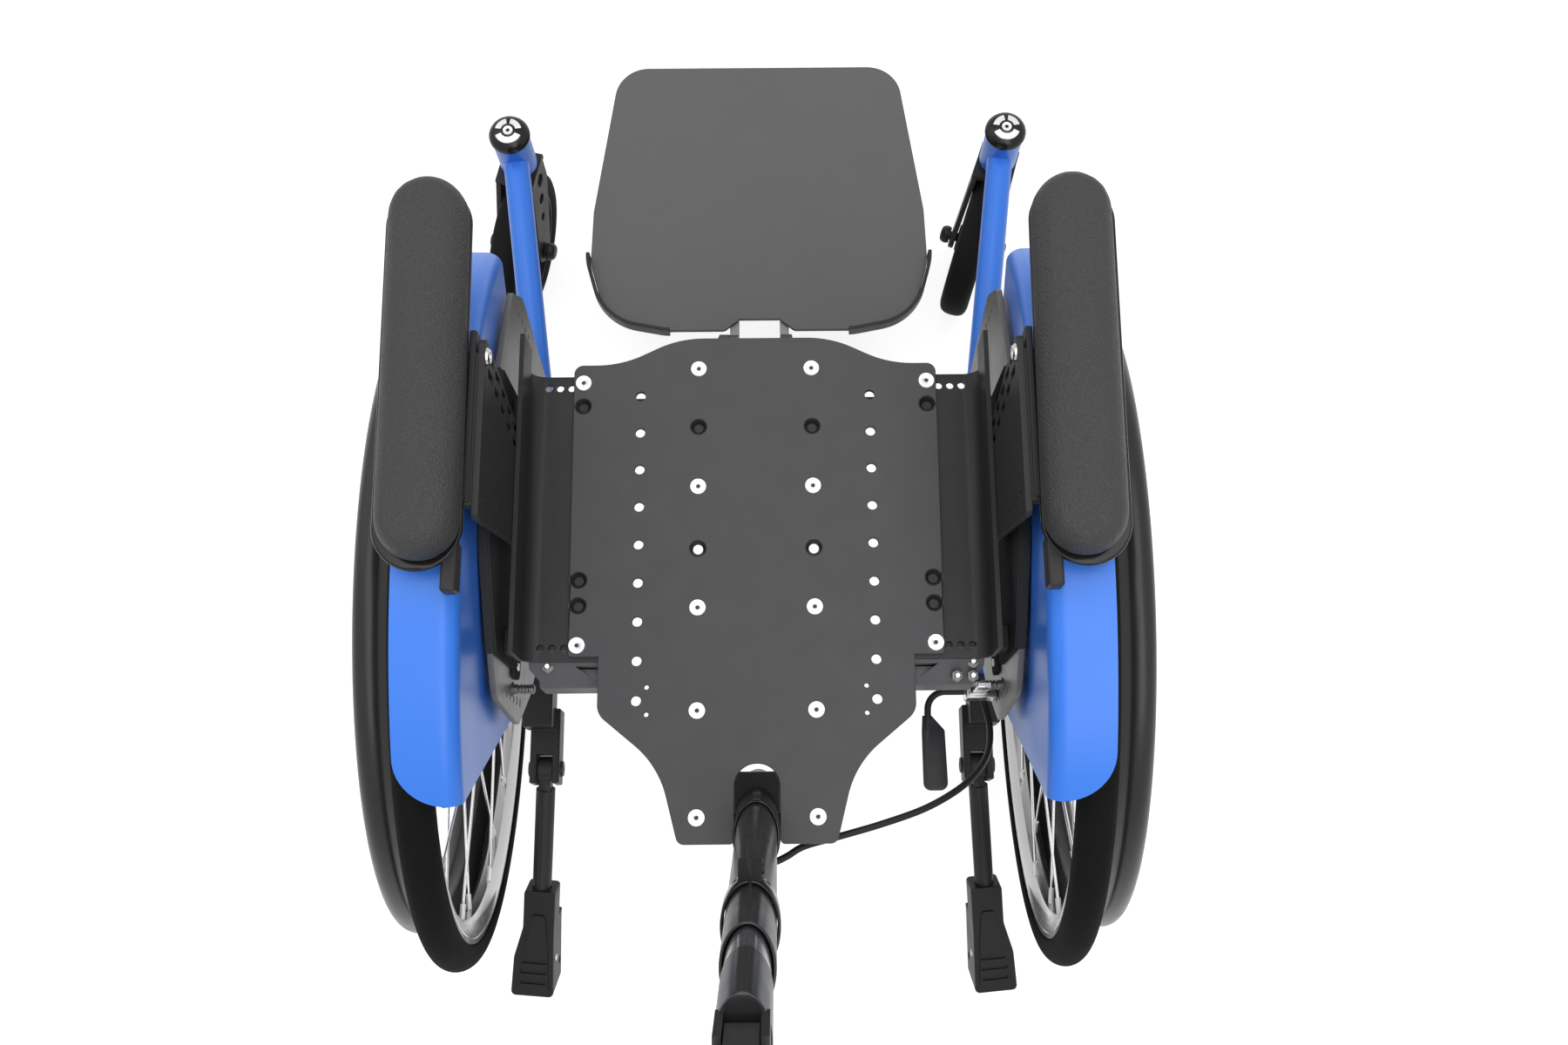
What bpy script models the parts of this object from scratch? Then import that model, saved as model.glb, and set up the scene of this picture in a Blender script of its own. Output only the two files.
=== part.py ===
"""Pediatric manual wheelchair: a rigid chassis with a bare, drilled seat plate.

The floor is z = 0, x = 0 is the middle plane with +X to the chair's right, and +Y points
to the front. The middle of the whole chair, front to back, is y = 0. All sizes are in metres.
"""

import math

import bmesh
import bpy
from mathutils import Matrix, Quaternion, Vector

# Clearances
GAP = 0.0003
RUNNING_GAP = 0.0005

# Seat plate
SEAT_TOP = 0.405
PLATE_THICK = 0.004
ROW_Y = 0.013
HOLE_PITCH = 0.025
HOLE_ROWS = 9
HOLE_COLUMN_X = 0.075
HOLE_R = 0.0032
PLATE_HALF_WIDTH = 0.118
PLATE_FRONT = ROW_Y + 0.022
PLATE_NOSE = ROW_Y + 0.0405
NOSE_HALF_WIDTH = 0.050
WAIST_HALF_WIDTH = 0.099
WAIST_Y = ROW_Y - 0.172
TAIL_HALF_WIDTH = 0.0485
TAIL_END = ROW_Y - 0.2875
SLOT_FRONT = ROW_Y - 0.239
SLOT_CLEARANCE = 0.0005

# Screws
SCREW_HEAD_R = 0.00525
SCREW_HEAD_H = 0.0012
SCREW_SEAT = 0.001
CENTRE_SCREW_X = 0.037
CENTRE_SCREW_ROWS = (0.0186, -0.062, -0.1415, -0.2065, -0.2716)
CENTRE_HOLE_ROWS = (-0.0213, -0.103)
EDGE_SCREW_X = 0.1125
EDGE_SCREW_ROWS = (0.0093, -0.165)
EDGE_HOLE_ROWS = (-0.0065, -0.123, -0.1395)
SMALL_HOLE_X = 0.0685
SMALL_HOLE_R = 0.0015
SMALL_HOLE_ROWS = (-0.1915, -0.2085)

# Seat rails
RAIL_FRONT = ROW_Y + 0.0155
RAIL_REAR = ROW_Y - 0.1745
RAIL_THICK = 0.003
RAIL_FLANGE_INNER = 0.097
RAIL_WALL_X = 0.1465
RAIL_WALL_HEIGHT = 0.032
RAIL_BEND = 0.010
RAIL_NOSE = 0.016
RAIL_HOLE_X = (0.121, 0.1285, 0.136)
RAIL_HOLE_R = 0.0025
RAIL_HOLE_ROWS = (0.0075, -0.166)
FRONT_MEMBER_REACH = 0.036
FRONT_MEMBER_HALF = 0.060
REAR_BAR_FRONT = 0.0225
REAR_BAR_WIDTH = 0.016
REAR_END_INNER = 0.0985
REAR_END_OUTER = 0.1436
REAR_LIP_DEPTH = 0.038

# Side plates, which carry the wheels
SIDE_INNER_X = 0.1615
SIDE_THICK = 0.004
SIDE_HOLE_R = 0.0022
SIDE_CREST = 0.055

# Drive wheels
AXLE_Y = ROW_Y - 0.112
CAMBER = math.radians(3.1)
TYRE_HEIGHT = 0.018
TYRE_HALF_WIDTH = 0.012
WHEEL_X = 0.2095
RIM_R = 0.236
RIM_DEPTH = 0.017
RIM_HALF_WIDTH = 0.0095
HUB_HALF_LENGTH = 0.018
HUB_R = 0.015
FLANGE_R = 0.022
FLANGE_AXIAL = 0.014
FLANGE_THICK = 0.002
AXLE_R = 0.006
SPOKE_COUNT = 24
SPOKE_R = 0.001
SPOKE_SIDES = 3
SPOKE_END_GAP = 0.0006
SPOKE_LEAN = math.radians(52)
HANDRIM_DROP = 0.0082
HANDRIM_TUBE_R = 0.010
HANDRIM_AXIAL = 0.027
RECEIVER_R = 0.014
WHEEL_STEPS = 36

# Frame tubes and casters
FRAME_TUBE_R = 0.011
FRAME_Z = 0.168
PIVOT_X = 0.210
PIVOT_Y = ROW_Y + 0.309
HEAD_R = 0.016
HEAD_LOW = 0.152
HEAD_TOP = 0.200
CAP_R = 0.0175
CAP_HEIGHT = 0.010
STEM_R = 0.008
CASTER_R = 0.070
CASTER_HALF_WIDTH = 0.013
CASTER_STEPS = 20
CASTER_TRAIL = 0.040
CASTER_CORE_R = 0.052
CASTER_AXLE_R = 0.004
FORK_INNER = 0.0165
FORK_THICK = 0.0045
FORK_SPREAD = 0.0045
KNOB_GAP = 0.001
CROWN_THICK = 0.006
CASTER_SWIVEL = {"left": math.radians(13), "right": math.radians(18)}
FRAME_REAR = ROW_Y - 0.150
CROSS_TUBE_R = 0.010
CROSS_FRONT = 0.0068
CROSS_REAR = -0.088

# Footplate
FOOT_TOP = 0.151
FOOT_THICK = 0.004
FOOT_LENGTH = 0.253
FOOT_REAR = ROW_Y + 0.151
FOOT_FRONT_HALF = 0.1265
FOOT_HALF = 0.1455
NOTCH_DEPTH = 0.010
NOTCH_HALF = 0.0172
NOTCH_SLOPE = 0.0125
EDGE_LIP_THICK = 0.003
EDGE_LIP_HEIGHT = 0.009
HANGER_X = 0.0213
HANGER_THICK = 0.0076
HANGER_TOP_Y = ROW_Y + 0.047

# Armrests
PAD_LENGTH = 0.224
PAD_WIDTH = 0.046
PAD_HEIGHT = 0.028
PAD_X = 0.1812
PAD_BASE_X = 0.1842
PAD_BASE_WIDTH = 0.049
PAD_BASE_LENGTH = 0.229
PAD_BASE_THICK = 0.004
PAD_Y = ROW_Y - 0.032
PAD_TOE = math.radians(0.9)
ARMREST_RISE = 0.0199
BRACKET_THICK = 0.004
VENT_TOP = 0.012
VENT_LENGTH = 0.015
VENT_PITCH = 0.0205

# Fenders
FENDER_CLEARANCE = 0.0105
FENDER_THICK = 0.0025
FENDER_WALL_GAP = 0.001
FENDER_OUTER = 0.006
FENDER_BEND = 0.009
FENDER_CORNER = 0.030
FENDER_FRONT_ANGLE = math.radians(37)
FENDER_REAR_ANGLE = math.radians(126)
FENDER_WALL_FRONT = (0.165, 0.070)
FENDER_WALL_REAR = (-0.074, -0.004)
FENDER_STUDS = ((0.070, 0.150), (-0.045, 0.150))

# Anti-tippers
TIP_X = 0.169
TIP_HINGE_Y = ROW_Y - 0.218
TIP_HINGE_Z = SEAT_TOP - 0.252
TIP_SLOPE = math.radians(27)
TIP_SPLAY = math.radians(5.0)
TIP_TUBE_R = 0.0075
TIP_EYE_HALF = 0.0055
TIP_PIN_R = 0.004
TIP_FOOT_START = 0.100
TIP_FOOT_LENGTH = 0.092
TIP_WHEEL_R = 0.022
TIP_WHEEL_HALF = 0.008
TIP_WHEEL_INSET = 0.019

# Push post and handle
POST_LEAN = math.radians(15)
POST_BASE_Y = ROW_Y - 0.275
POST_HALF_X = 0.012
POST_HALF_Y = 0.0195
POST_WALL = 0.0016
ARM_INNER = 0.0165
ARM_OUTER = 0.0225
SOCKET_WALL = 0.0012
CLAMP_WALL = 0.0016
SOCKET_LOW = -0.070
SOCKET_TOP = 0.037
POST_TOP = 0.284
CLAMP_LOW = 0.209
CLAMP_TOP = 0.2246
INNER_LOW = 0.150
BAND_TOP = 0.312
JOINT_TOP = 0.368
BAR_HINGE = 0.382
BAR_REACH = 0.162
BAR_HALF_WIDTH = 0.155
BAR_R = 0.010
BAR_PIN_R = 0.003
GRIP_R = 0.015
GRIP_LENGTH = 0.110

# Release lever and its cable
LEVER_X = 0.118
LEVER_Y = ROW_Y - 0.1805
LEVER_Z = SEAT_TOP - 0.085
LEVER_ROD_R = 0.003
LEVER_BLOCK_LOW = 0.140
PADDLE_HALF = 0.0077
PADDLE_LENGTH = 0.040
CABLE_R = 0.0022
CABLE_ROUTE = (
    (0.0040, -0.2945, -0.0260),
    (0.0100, -0.2972, -0.0256),
    (0.0180, -0.2940, -0.0250),
    (0.0290, -0.2880, -0.0240),
    (0.0520, -0.2820, -0.0220),
    (0.0790, -0.2745, -0.0230),
    (0.1060, -0.2650, -0.0270),
    (0.1290, -0.2520, -0.0350),
    (0.1440, -0.2380, -0.0480),
    (0.1520, -0.2240, -0.0640),
    (0.1550, -0.2090, -0.0770),
    (0.1540, -0.1965, -0.0840),
    (0.1525, -0.1908, -0.0850),
)

# Values worked out from the ones above
TYRE_R = RIM_R + TYRE_HEIGHT
HANDRIM_R = RIM_R - HANDRIM_DROP
FENDER_R = TYRE_R + FENDER_CLEARANCE
FOOT_FRONT = FOOT_REAR + FOOT_LENGTH
SLOT_HALF = POST_HALF_X + GAP + SOCKET_WALL + SLOT_CLEARANCE
AXLE_Z = TYRE_R * math.cos(CAMBER)
BRACKET_TOP = AXLE_Z + FENDER_R + ARMREST_RISE
RAIL_TOP = SEAT_TOP - PLATE_THICK - GAP
SIDE_OUTER_X = SIDE_INNER_X + SIDE_THICK
FRAME_REAR_X = SIDE_OUTER_X + GAP + FRAME_TUBE_R
CREST_X = SIDE_OUTER_X + FENDER_WALL_GAP + (SEAT_TOP + SIDE_CREST - AXLE_Z) * math.tan(CAMBER)
FENDER_INNER = (CREST_X - WHEEL_X) * math.cos(CAMBER) + FENDER_THICK / 2
SIDES = (("left", -1), ("right", 1))


def start_scene():
    for obj in list(bpy.data.objects):
        bpy.data.objects.remove(obj, do_unlink=True)


start_scene()
PARTS = bpy.data.collections.new("pediatric_wheelchair")
CUTTERS = bpy.data.collections.new("cutters")
for group in (PARTS, CUTTERS):
    bpy.context.scene.collection.children.link(group)


def finish(name, colour, roughness=0.5, metallic=0.0):
    """A plain Principled material."""
    made = bpy.data.materials.new(name)
    made.use_nodes = True
    shader = made.node_tree.nodes["Principled BSDF"]
    shader.inputs["Base Color"].default_value = (*colour, 1.0)
    shader.inputs["Roughness"].default_value = roughness
    shader.inputs["Metallic"].default_value = metallic
    return made


def add_object(name, data, matrix, material):
    """Put mesh or curve data in the scene as a part, or as a cutter without a material."""
    obj = bpy.data.objects.new(name, data)
    obj.matrix_world = matrix
    if material is None:
        obj.hide_render = True
        obj.display_type = "WIRE"
        CUTTERS.objects.link(obj)
    else:
        data.materials.append(material)
        PARTS.objects.link(obj)
    return obj


def from_bmesh(name, bm, matrix, material, smooth=False):
    mesh = bpy.data.meshes.new(name)
    bmesh.ops.recalc_face_normals(bm, faces=bm.faces)
    bm.to_mesh(mesh)
    bm.free()
    if smooth:
        mesh.shade_smooth()
        mesh.set_sharp_from_angle(angle=math.radians(35))
    return add_object(name, mesh, matrix, material)


def box(name, low, high, material, matrix=Matrix()):
    """A block between two opposite corners, given in the frame of matrix."""
    bm = bmesh.new()
    size = Vector(high) - Vector(low)
    centre = (Vector(high) + Vector(low)) / 2
    bmesh.ops.create_cube(bm, size=1.0, matrix=Matrix.Translation(centre) @ Matrix.Diagonal((*size, 1.0)))
    return from_bmesh(name, bm, matrix, material)


def add_rod(bm, start, end, radius, sides):
    """Add a closed cylinder between two points to a bmesh."""
    start = Vector(start)
    along = Vector(end) - start
    turn = along.to_track_quat("Z", "Y").to_matrix().to_4x4()
    place = Matrix.Translation(start + along / 2) @ turn
    bmesh.ops.create_cone(
        bm, cap_ends=True, segments=sides, radius1=radius, radius2=radius, depth=along.length, matrix=place
    )


def rod(name, start, end, radius, material, sides=12, matrix=Matrix()):
    bm = bmesh.new()
    add_rod(bm, start, end, radius, sides)
    return from_bmesh(name, bm, matrix, material, smooth=True)


def turned(name, profile, matrix, material, steps=24, closed=False):
    """Turn a profile of (radius, height) points about the local Z axis."""
    mesh = bpy.data.meshes.new(name)
    edges = [(i, i + 1) for i in range(len(profile) - 1)]
    if closed:
        edges.append((len(profile) - 1, 0))
    mesh.from_pydata([(radius, 0.0, height) for radius, height in profile], edges, [])
    obj = add_object(name, mesh, matrix, material)
    screw = obj.modifiers.new("Turn", "SCREW")
    screw.steps = steps
    screw.render_steps = steps
    screw.use_merge_vertices = True
    screw.merge_threshold = 0.00005
    screw.use_smooth_shade = True
    return obj


def curve_to_mesh(obj, material):
    """Replace a curve object by its mesh, with the loose caps welded on."""
    depsgraph = bpy.context.evaluated_depsgraph_get()
    mesh = bpy.data.meshes.new_from_object(obj.evaluated_get(depsgraph))
    name, place = obj.name, obj.matrix_world.copy()
    bpy.data.objects.remove(obj, do_unlink=True)
    bm = bmesh.new()
    bm.from_mesh(mesh)
    bmesh.ops.remove_doubles(bm, verts=bm.verts, dist=0.00002)
    bpy.data.meshes.remove(mesh)
    return from_bmesh(name, bm, place, material)


def flat(name, outline, thickness, matrix, material, holes=()):
    """A plate from a 2D outline with holes, centred on its thickness, in the frame of matrix."""
    curve = bpy.data.curves.new(name, "CURVE")
    curve.dimensions = "2D"
    curve.fill_mode = "BOTH"
    curve.extrude = thickness / 2
    for loop in (outline, *holes):
        spline = curve.splines.new("POLY")
        spline.points.add(len(loop) - 1)
        for point, place in zip(spline.points, loop):
            point.co = (place[0], place[1], 0.0, 1.0)
        spline.use_cyclic_u = True
    obj = bpy.data.objects.new(name, curve)
    obj.matrix_world = matrix
    bpy.context.scene.collection.objects.link(obj)
    return curve_to_mesh(obj, material)


def tube(name, points, radius, material, resolution=3):
    """A round tube with closed ends along points in world space."""
    curve = bpy.data.curves.new(name, "CURVE")
    curve.dimensions = "3D"
    curve.bevel_depth = radius
    curve.bevel_resolution = resolution
    curve.use_fill_caps = True
    spline = curve.splines.new("POLY")
    spline.points.add(len(points) - 1)
    for point, place in zip(spline.points, points):
        point.co = (*place, 1.0)
    obj = bpy.data.objects.new(name, curve)
    bpy.context.scene.collection.objects.link(obj)
    return curve_to_mesh(obj, material)


def combine(obj, other, operation):
    modifier = obj.modifiers.new(operation.title(), "BOOLEAN")
    modifier.operation = operation
    modifier.solver = "EXACT"
    modifier.object = other
    return obj


def cut(obj, *cutters):
    for cutter in cutters:
        combine(obj, cutter, "DIFFERENCE")
    return obj


def join(obj, *others):
    for other in others:
        combine(obj, other, "UNION")
    return obj


def circle(radius, sides, centre=(0.0, 0.0), stretch=1.0):
    """Points round a circle, or an oval whose second half axis is stretch times the first."""
    turns = [2 * math.pi * (k + 0.5) / sides for k in range(sides)]
    return [(centre[0] + radius * math.cos(t), centre[1] + radius * stretch * math.sin(t)) for t in turns]


def arc(centre, radius, start, end, steps):
    turns = [start + (end - start) * k / steps for k in range(steps + 1)]
    return [(centre[0] + radius * math.cos(t), centre[1] + radius * math.sin(t)) for t in turns]


def rounded(corners, steps=4):
    """An outline through corners (x, y, radius), each with a round of its radius."""
    points = []
    for i, (x, y, radius) in enumerate(corners):
        here = Vector((x, y))
        if radius == 0:
            points.append(tuple(here))
            continue
        before = (Vector(corners[i - 1][:2]) - here).normalized()
        after = (Vector(corners[(i + 1) % len(corners)][:2]) - here).normalized()
        half = before.angle(after) / 2
        centre = here + (before + after).normalized() * (radius / math.sin(half))
        first = here + before * (radius / math.tan(half)) - centre
        last = here + after * (radius / math.tan(half)) - centre
        start = math.atan2(first.y, first.x)
        turn = (math.atan2(last.y, last.x) - start + math.pi) % (2 * math.pi) - math.pi
        points += arc(centre, radius, start, start + turn, steps)
    return points


def mirrored(right_half):
    """The right half of an outline, front to back, with its mirror image."""
    return right_half + [(-x, y, radius) for x, y, radius in reversed(right_half)]


def bend(points, steps=4):
    """A path through (x, y, z, radius) points, with its inner corners rounded."""
    path = [Vector(points[0][:3])]
    for i in range(1, len(points) - 1):
        here = Vector(points[i][:3])
        before = (Vector(points[i - 1][:3]) - here).normalized()
        after = (Vector(points[i + 1][:3]) - here).normalized()
        half = before.angle(after) / 2
        reach = points[i][3] / math.tan(half)
        centre = here + (before + after).normalized() * (points[i][3] / math.sin(half))
        first = here + before * reach - centre
        last = here + after * reach - centre
        turn = first.rotation_difference(last)
        path += [centre + Quaternion(turn.axis, turn.angle * k / steps) @ first for k in range(steps + 1)]
    path.append(Vector(points[-1][:3]))
    return path


def upright(x):
    """Frame of a plate that stands along the chair at x: its outline is in (y, z)."""
    return Matrix(((0, 0, 1, x), (1, 0, 0, 0), (0, 1, 0, 0), (0, 0, 0, 1)))


def level(z):
    """Frame of a plate that lies flat at height z: its outline is in (x, y)."""
    return Matrix.Translation((0, 0, z))


BLUE = finish("blue_paint", (0.10, 0.27, 0.80), 0.35)
PLATE_GREY = finish("plate_grey", (0.095, 0.095, 0.097), 0.55, 0.3)
BLACK_METAL = finish("black_metal", (0.035, 0.035, 0.037), 0.45, 0.3)
SILVER = finish("silver_alloy", (0.42, 0.41, 0.40), 0.4, 0.8)
CHROME = finish("chrome", (0.80, 0.80, 0.82), 0.15, 1.0)
BLACK_PLASTIC = finish("black_plastic", (0.030, 0.030, 0.032), 0.45)
RUBBER = finish("rubber", (0.025, 0.025, 0.025), 0.75)
PAD_LEATHER = finish("pad_leather", (0.045, 0.045, 0.047), 0.6)
FOOT_GREY = finish("footplate_grey", (0.14, 0.14, 0.145), 0.5, 0.2)


def screw_places():
    """Where the plate's screws stand, as (x, y)."""
    places = []
    for side in (-1, 1):
        places += [(side * CENTRE_SCREW_X, ROW_Y + dy) for dy in CENTRE_SCREW_ROWS]
        places += [(side * EDGE_SCREW_X, ROW_Y + dy) for dy in EDGE_SCREW_ROWS]
    return places


def seat_plate():
    right_half = [
        (NOSE_HALF_WIDTH, PLATE_NOSE, 0.070),
        (NOSE_HALF_WIDTH + 0.038, PLATE_FRONT, 0.070),
        (PLATE_HALF_WIDTH + 0.001, PLATE_FRONT, 0.006),
        (PLATE_HALF_WIDTH, WAIST_Y, 0.002),
        (WAIST_HALF_WIDTH, WAIST_Y, 0),
        (WAIST_HALF_WIDTH, WAIST_Y - 0.036, 0.012),
        (TAIL_HALF_WIDTH + 0.012, WAIST_Y - 0.068, 0.060),
        (TAIL_HALF_WIDTH, TAIL_END, 0.005),
        (SLOT_HALF, TAIL_END, 0.003),
        (SLOT_HALF, SLOT_FRONT, SLOT_HALF * 0.99),
    ]
    holes = []
    for side in (-1, 1):
        for row in range(HOLE_ROWS):
            holes.append(circle(HOLE_R, 8, (side * HOLE_COLUMN_X, ROW_Y - row * HOLE_PITCH)))
        for dy in CENTRE_HOLE_ROWS:
            holes.append(circle(HOLE_R, 8, (side * CENTRE_SCREW_X, ROW_Y + dy)))
        for dy in EDGE_HOLE_ROWS:
            holes.append(circle(HOLE_R, 8, (side * EDGE_SCREW_X, ROW_Y + dy)))
        for dy in SMALL_HOLE_ROWS:
            holes.append(circle(SMALL_HOLE_R, 6, (side * SMALL_HOLE_X, ROW_Y + dy)))
    middle = SEAT_TOP - PLATE_THICK / 2
    plate = flat("seat_plate", rounded(mirrored(right_half)), PLATE_THICK, level(middle), PLATE_GREY, holes)
    bm = bmesh.new()
    for x, y in screw_places():
        low = Matrix.Translation((x, y, SEAT_TOP + (SCREW_HEAD_H - SCREW_SEAT) / 2))
        bmesh.ops.create_cone(
            bm, cap_ends=True, segments=8, radius1=SCREW_HEAD_R, radius2=SCREW_HEAD_R * 0.92,
            depth=SCREW_HEAD_H + SCREW_SEAT, matrix=low,
        )
    join(plate, from_bmesh("seat_screw_heads", bm, Matrix(), None))
    plate.modifiers[-1].solver = "MANIFOLD"


def seat_rail(label, side):
    """A bent rail: a drilled flange under the plate, then a wall that turns up beside the seat."""
    low = RAIL_TOP - RAIL_THICK
    outer = RAIL_WALL_X + RAIL_THICK
    section = rounded([
        (side * RAIL_FLANGE_INNER, low, 0),
        (side * outer, low, RAIL_BEND + RAIL_THICK),
        (side * outer, SEAT_TOP + RAIL_WALL_HEIGHT, 0),
        (side * RAIL_WALL_X, SEAT_TOP + RAIL_WALL_HEIGHT, 0),
        (side * RAIL_WALL_X, RAIL_TOP, RAIL_BEND),
        (side * RAIL_FLANGE_INNER, RAIL_TOP, 0),
    ])
    length = RAIL_FRONT - RAIL_REAR
    across = Matrix(((1, 0, 0, 0), (0, 0, 1, (RAIL_FRONT + RAIL_REAR) / 2), (0, 1, 0, 0), (0, 0, 0, 1)))
    name = "seat_rail_" + label
    rail = flat(name, section, length, across, BLACK_METAL)
    nose_x = sorted((side * RAIL_WALL_X, side * outer))
    nose = box(
        name + "_nose",
        (nose_x[0], RAIL_FRONT - 0.004, SEAT_TOP + 0.004),
        (nose_x[1], RAIL_FRONT + RAIL_NOSE, SEAT_TOP + RAIL_WALL_HEIGHT),
        None,
    )
    join(rail, nose)
    bm = bmesh.new()
    for dy in RAIL_HOLE_ROWS:
        for x in RAIL_HOLE_X:
            start = (side * x, ROW_Y + dy, low - 0.002)
            end = (side * x, ROW_Y + dy, RAIL_TOP + 0.002)
            add_rod(bm, start, end, RAIL_HOLE_R, 8)
    cut(rail, from_bmesh(name + "_holes", bm, Matrix(), None))


CORNER_CUT = ((0.004, 0.0105), (0, 0.0105), (-0.0056, 0.0040), (-0.0056, -0.004), (0.004, -0.004))


def cross_members():
    """The bent member behind the seat and the channel under its front edge."""
    top = RAIL_TOP - RAIL_THICK - GAP
    wall = 0.003
    lip = RAIL_REAR - 0.014
    bend_low = top - 0.014
    bottom = top - REAR_LIP_DEPTH
    flange_front = RAIL_REAR + 0.008
    section = rounded([
        (flange_front, top, 0),
        (RAIL_REAR, top, 0.004),
        (lip, bend_low, 0.004),
        (lip, bottom, 0),
        (flange_front, bottom, 0),
        (flange_front, bottom + wall, 0),
        (lip + wall, bottom + wall, 0),
        (lip + wall, bend_low - 0.0015, 0),
        (flange_front, top - wall, 0),
    ], 2)
    reach = SIDE_INNER_X - GAP
    bar_front = RAIL_REAR + REAR_BAR_FRONT
    bar_low = (-reach, bar_front - REAR_BAR_WIDTH, bend_low)
    rear = box("rear_cross_member", bar_low, (reach, bar_front, top), FOOT_GREY)
    for side in (-1, 1):
        middle = side * (REAR_END_INNER + REAR_END_OUTER) / 2
        width = REAR_END_OUTER - REAR_END_INNER
        join(rear, flat("rear_cross_member_end" + str(side), section, width, upright(middle), None))
    corner = [(0.080, RAIL_REAR - 0.002), (0.1145, RAIL_REAR - 0.002), (0.1015, lip + wall), (0.080, lip + wall)]
    for side in (-1, 1):
        outline = [(side * x, y) for x, y in corner]
        cut(rear, flat("rear_window" + str(side), outline, 0.020, level(top), None))
        outline = [(side * (REAR_END_OUTER + x), lip + y) for x, y in CORNER_CUT]
        cut(rear, flat("rear_corner" + str(side), outline, 0.120, level(top), None))

    low = top - 0.021
    front_y = ROW_Y + FRONT_MEMBER_REACH
    half = FRONT_MEMBER_HALF
    outline = mirrored([(half - 0.016, front_y, 0), (half, front_y - 0.014, 0), (half, ROW_Y - 0.030, 0)])
    corners = [(x, y) for x, y, radius in outline]
    member = flat("front_cross_member", corners, RAIL_TOP - low, level((RAIL_TOP + low) / 2), BLACK_METAL)
    ends_low = (-reach, ROW_Y - 0.014, top - 0.019)
    join(member, box("front_cross_member_ends", ends_low, (reach, ROW_Y + 0.001, top), None))


def side_plate(label, side):
    """The upright alloy plate, drilled in rows, with the boss that takes the wheel's axle."""
    y, z = ROW_Y, SEAT_TOP
    crest = [(y - 0.158, z + 0.026, 0.03), (y - 0.110, z + SIDE_CREST, 0.06), (y - 0.040, z + SIDE_CREST, 0.08)]
    outline = rounded([
        (y + 0.074, z, 0.006),
        (y + 0.086, z - 0.036, 0.03),
        (y + 0.068, z - 0.136, 0.05),
        (y + 0.060, z - 0.252, 0.012),
        (y - 0.090, z - 0.252, 0.015),
        (y - 0.136, z - 0.165, 0.03),
        (y - 0.178, z - 0.124, 0.012),
        (y - 0.204, z - 0.083, 0.008),
        (y - 0.197, z - 0.002, 0.02),
        *crest,
    ], 3)
    holes = []
    for row in range(5):
        holes.append(circle(SIDE_HOLE_R, 6, (y + 0.068, z - 0.011 - row * 0.013)))
        slot_z = z - 0.034 - row * 0.012
        slot = [(y - 0.192, slot_z, 0), (y - 0.186, slot_z, 0), (y - 0.186, slot_z - 0.003, 0)]
        holes.append(rounded(slot + [(y - 0.192, slot_z - 0.003, 0)]))
    middle = side * (SIDE_INNER_X + SIDE_THICK / 2)
    name = "side_plate_" + label
    plate = flat(name, outline, SIDE_THICK, upright(middle), SILVER, holes)
    outer_face = HUB_HALF_LENGTH + RUNNING_GAP
    root = (WHEEL_X - SIDE_OUTER_X) / math.cos(CAMBER) + 0.003
    boss = turned(
        name + "_boss", [(0, -outer_face), (RECEIVER_R, -outer_face), (RECEIVER_R, -root), (0, -root)],
        wheel_frame(side), None, 16,
    )
    bore = turned(
        name + "_bore", [(0, 0), (AXLE_R + RUNNING_GAP, 0), (AXLE_R + RUNNING_GAP, -0.038), (0, -0.038)],
        wheel_frame(side), None, 16,
    )
    join(plate, boss)
    cut(plate, bore)
    bm = bmesh.new()
    reach = FENDER_INNER - FENDER_THICK / 2 - GAP
    for y, z in FENDER_STUDS:
        add_rod(bm, (side * -0.038, y, z), (side * reach, y, z), 0.005, 8)
    join(plate, from_bmesh(name + "_studs", bm, camber_frame(side), None))


def camber_frame(side):
    """Frame at the middle of a drive wheel that leans with it: X across, Y forward, Z up."""
    return Matrix.Translation((side * WHEEL_X, AXLE_Y, AXLE_Z)) @ Matrix.Rotation(side * -CAMBER, 4, "Y")


def wheel_frame(side):
    """Frame of a drive wheel: its local Z axis is the cambered axle, pointing outward."""
    outward = Vector((side * math.cos(CAMBER), 0, math.sin(CAMBER)))
    up = Vector((-side * math.sin(CAMBER), 0, math.cos(CAMBER)))
    frame = Matrix.Identity(4)
    for column, axis in enumerate((up.cross(outward), up, outward)):
        for row in range(3):
            frame[row][column] = axis[row]
    place = Matrix.Translation((side * WHEEL_X, AXLE_Y, AXLE_Z))
    return place @ frame @ Matrix.Rotation(math.pi / WHEEL_STEPS, 4, "Z")


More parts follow.
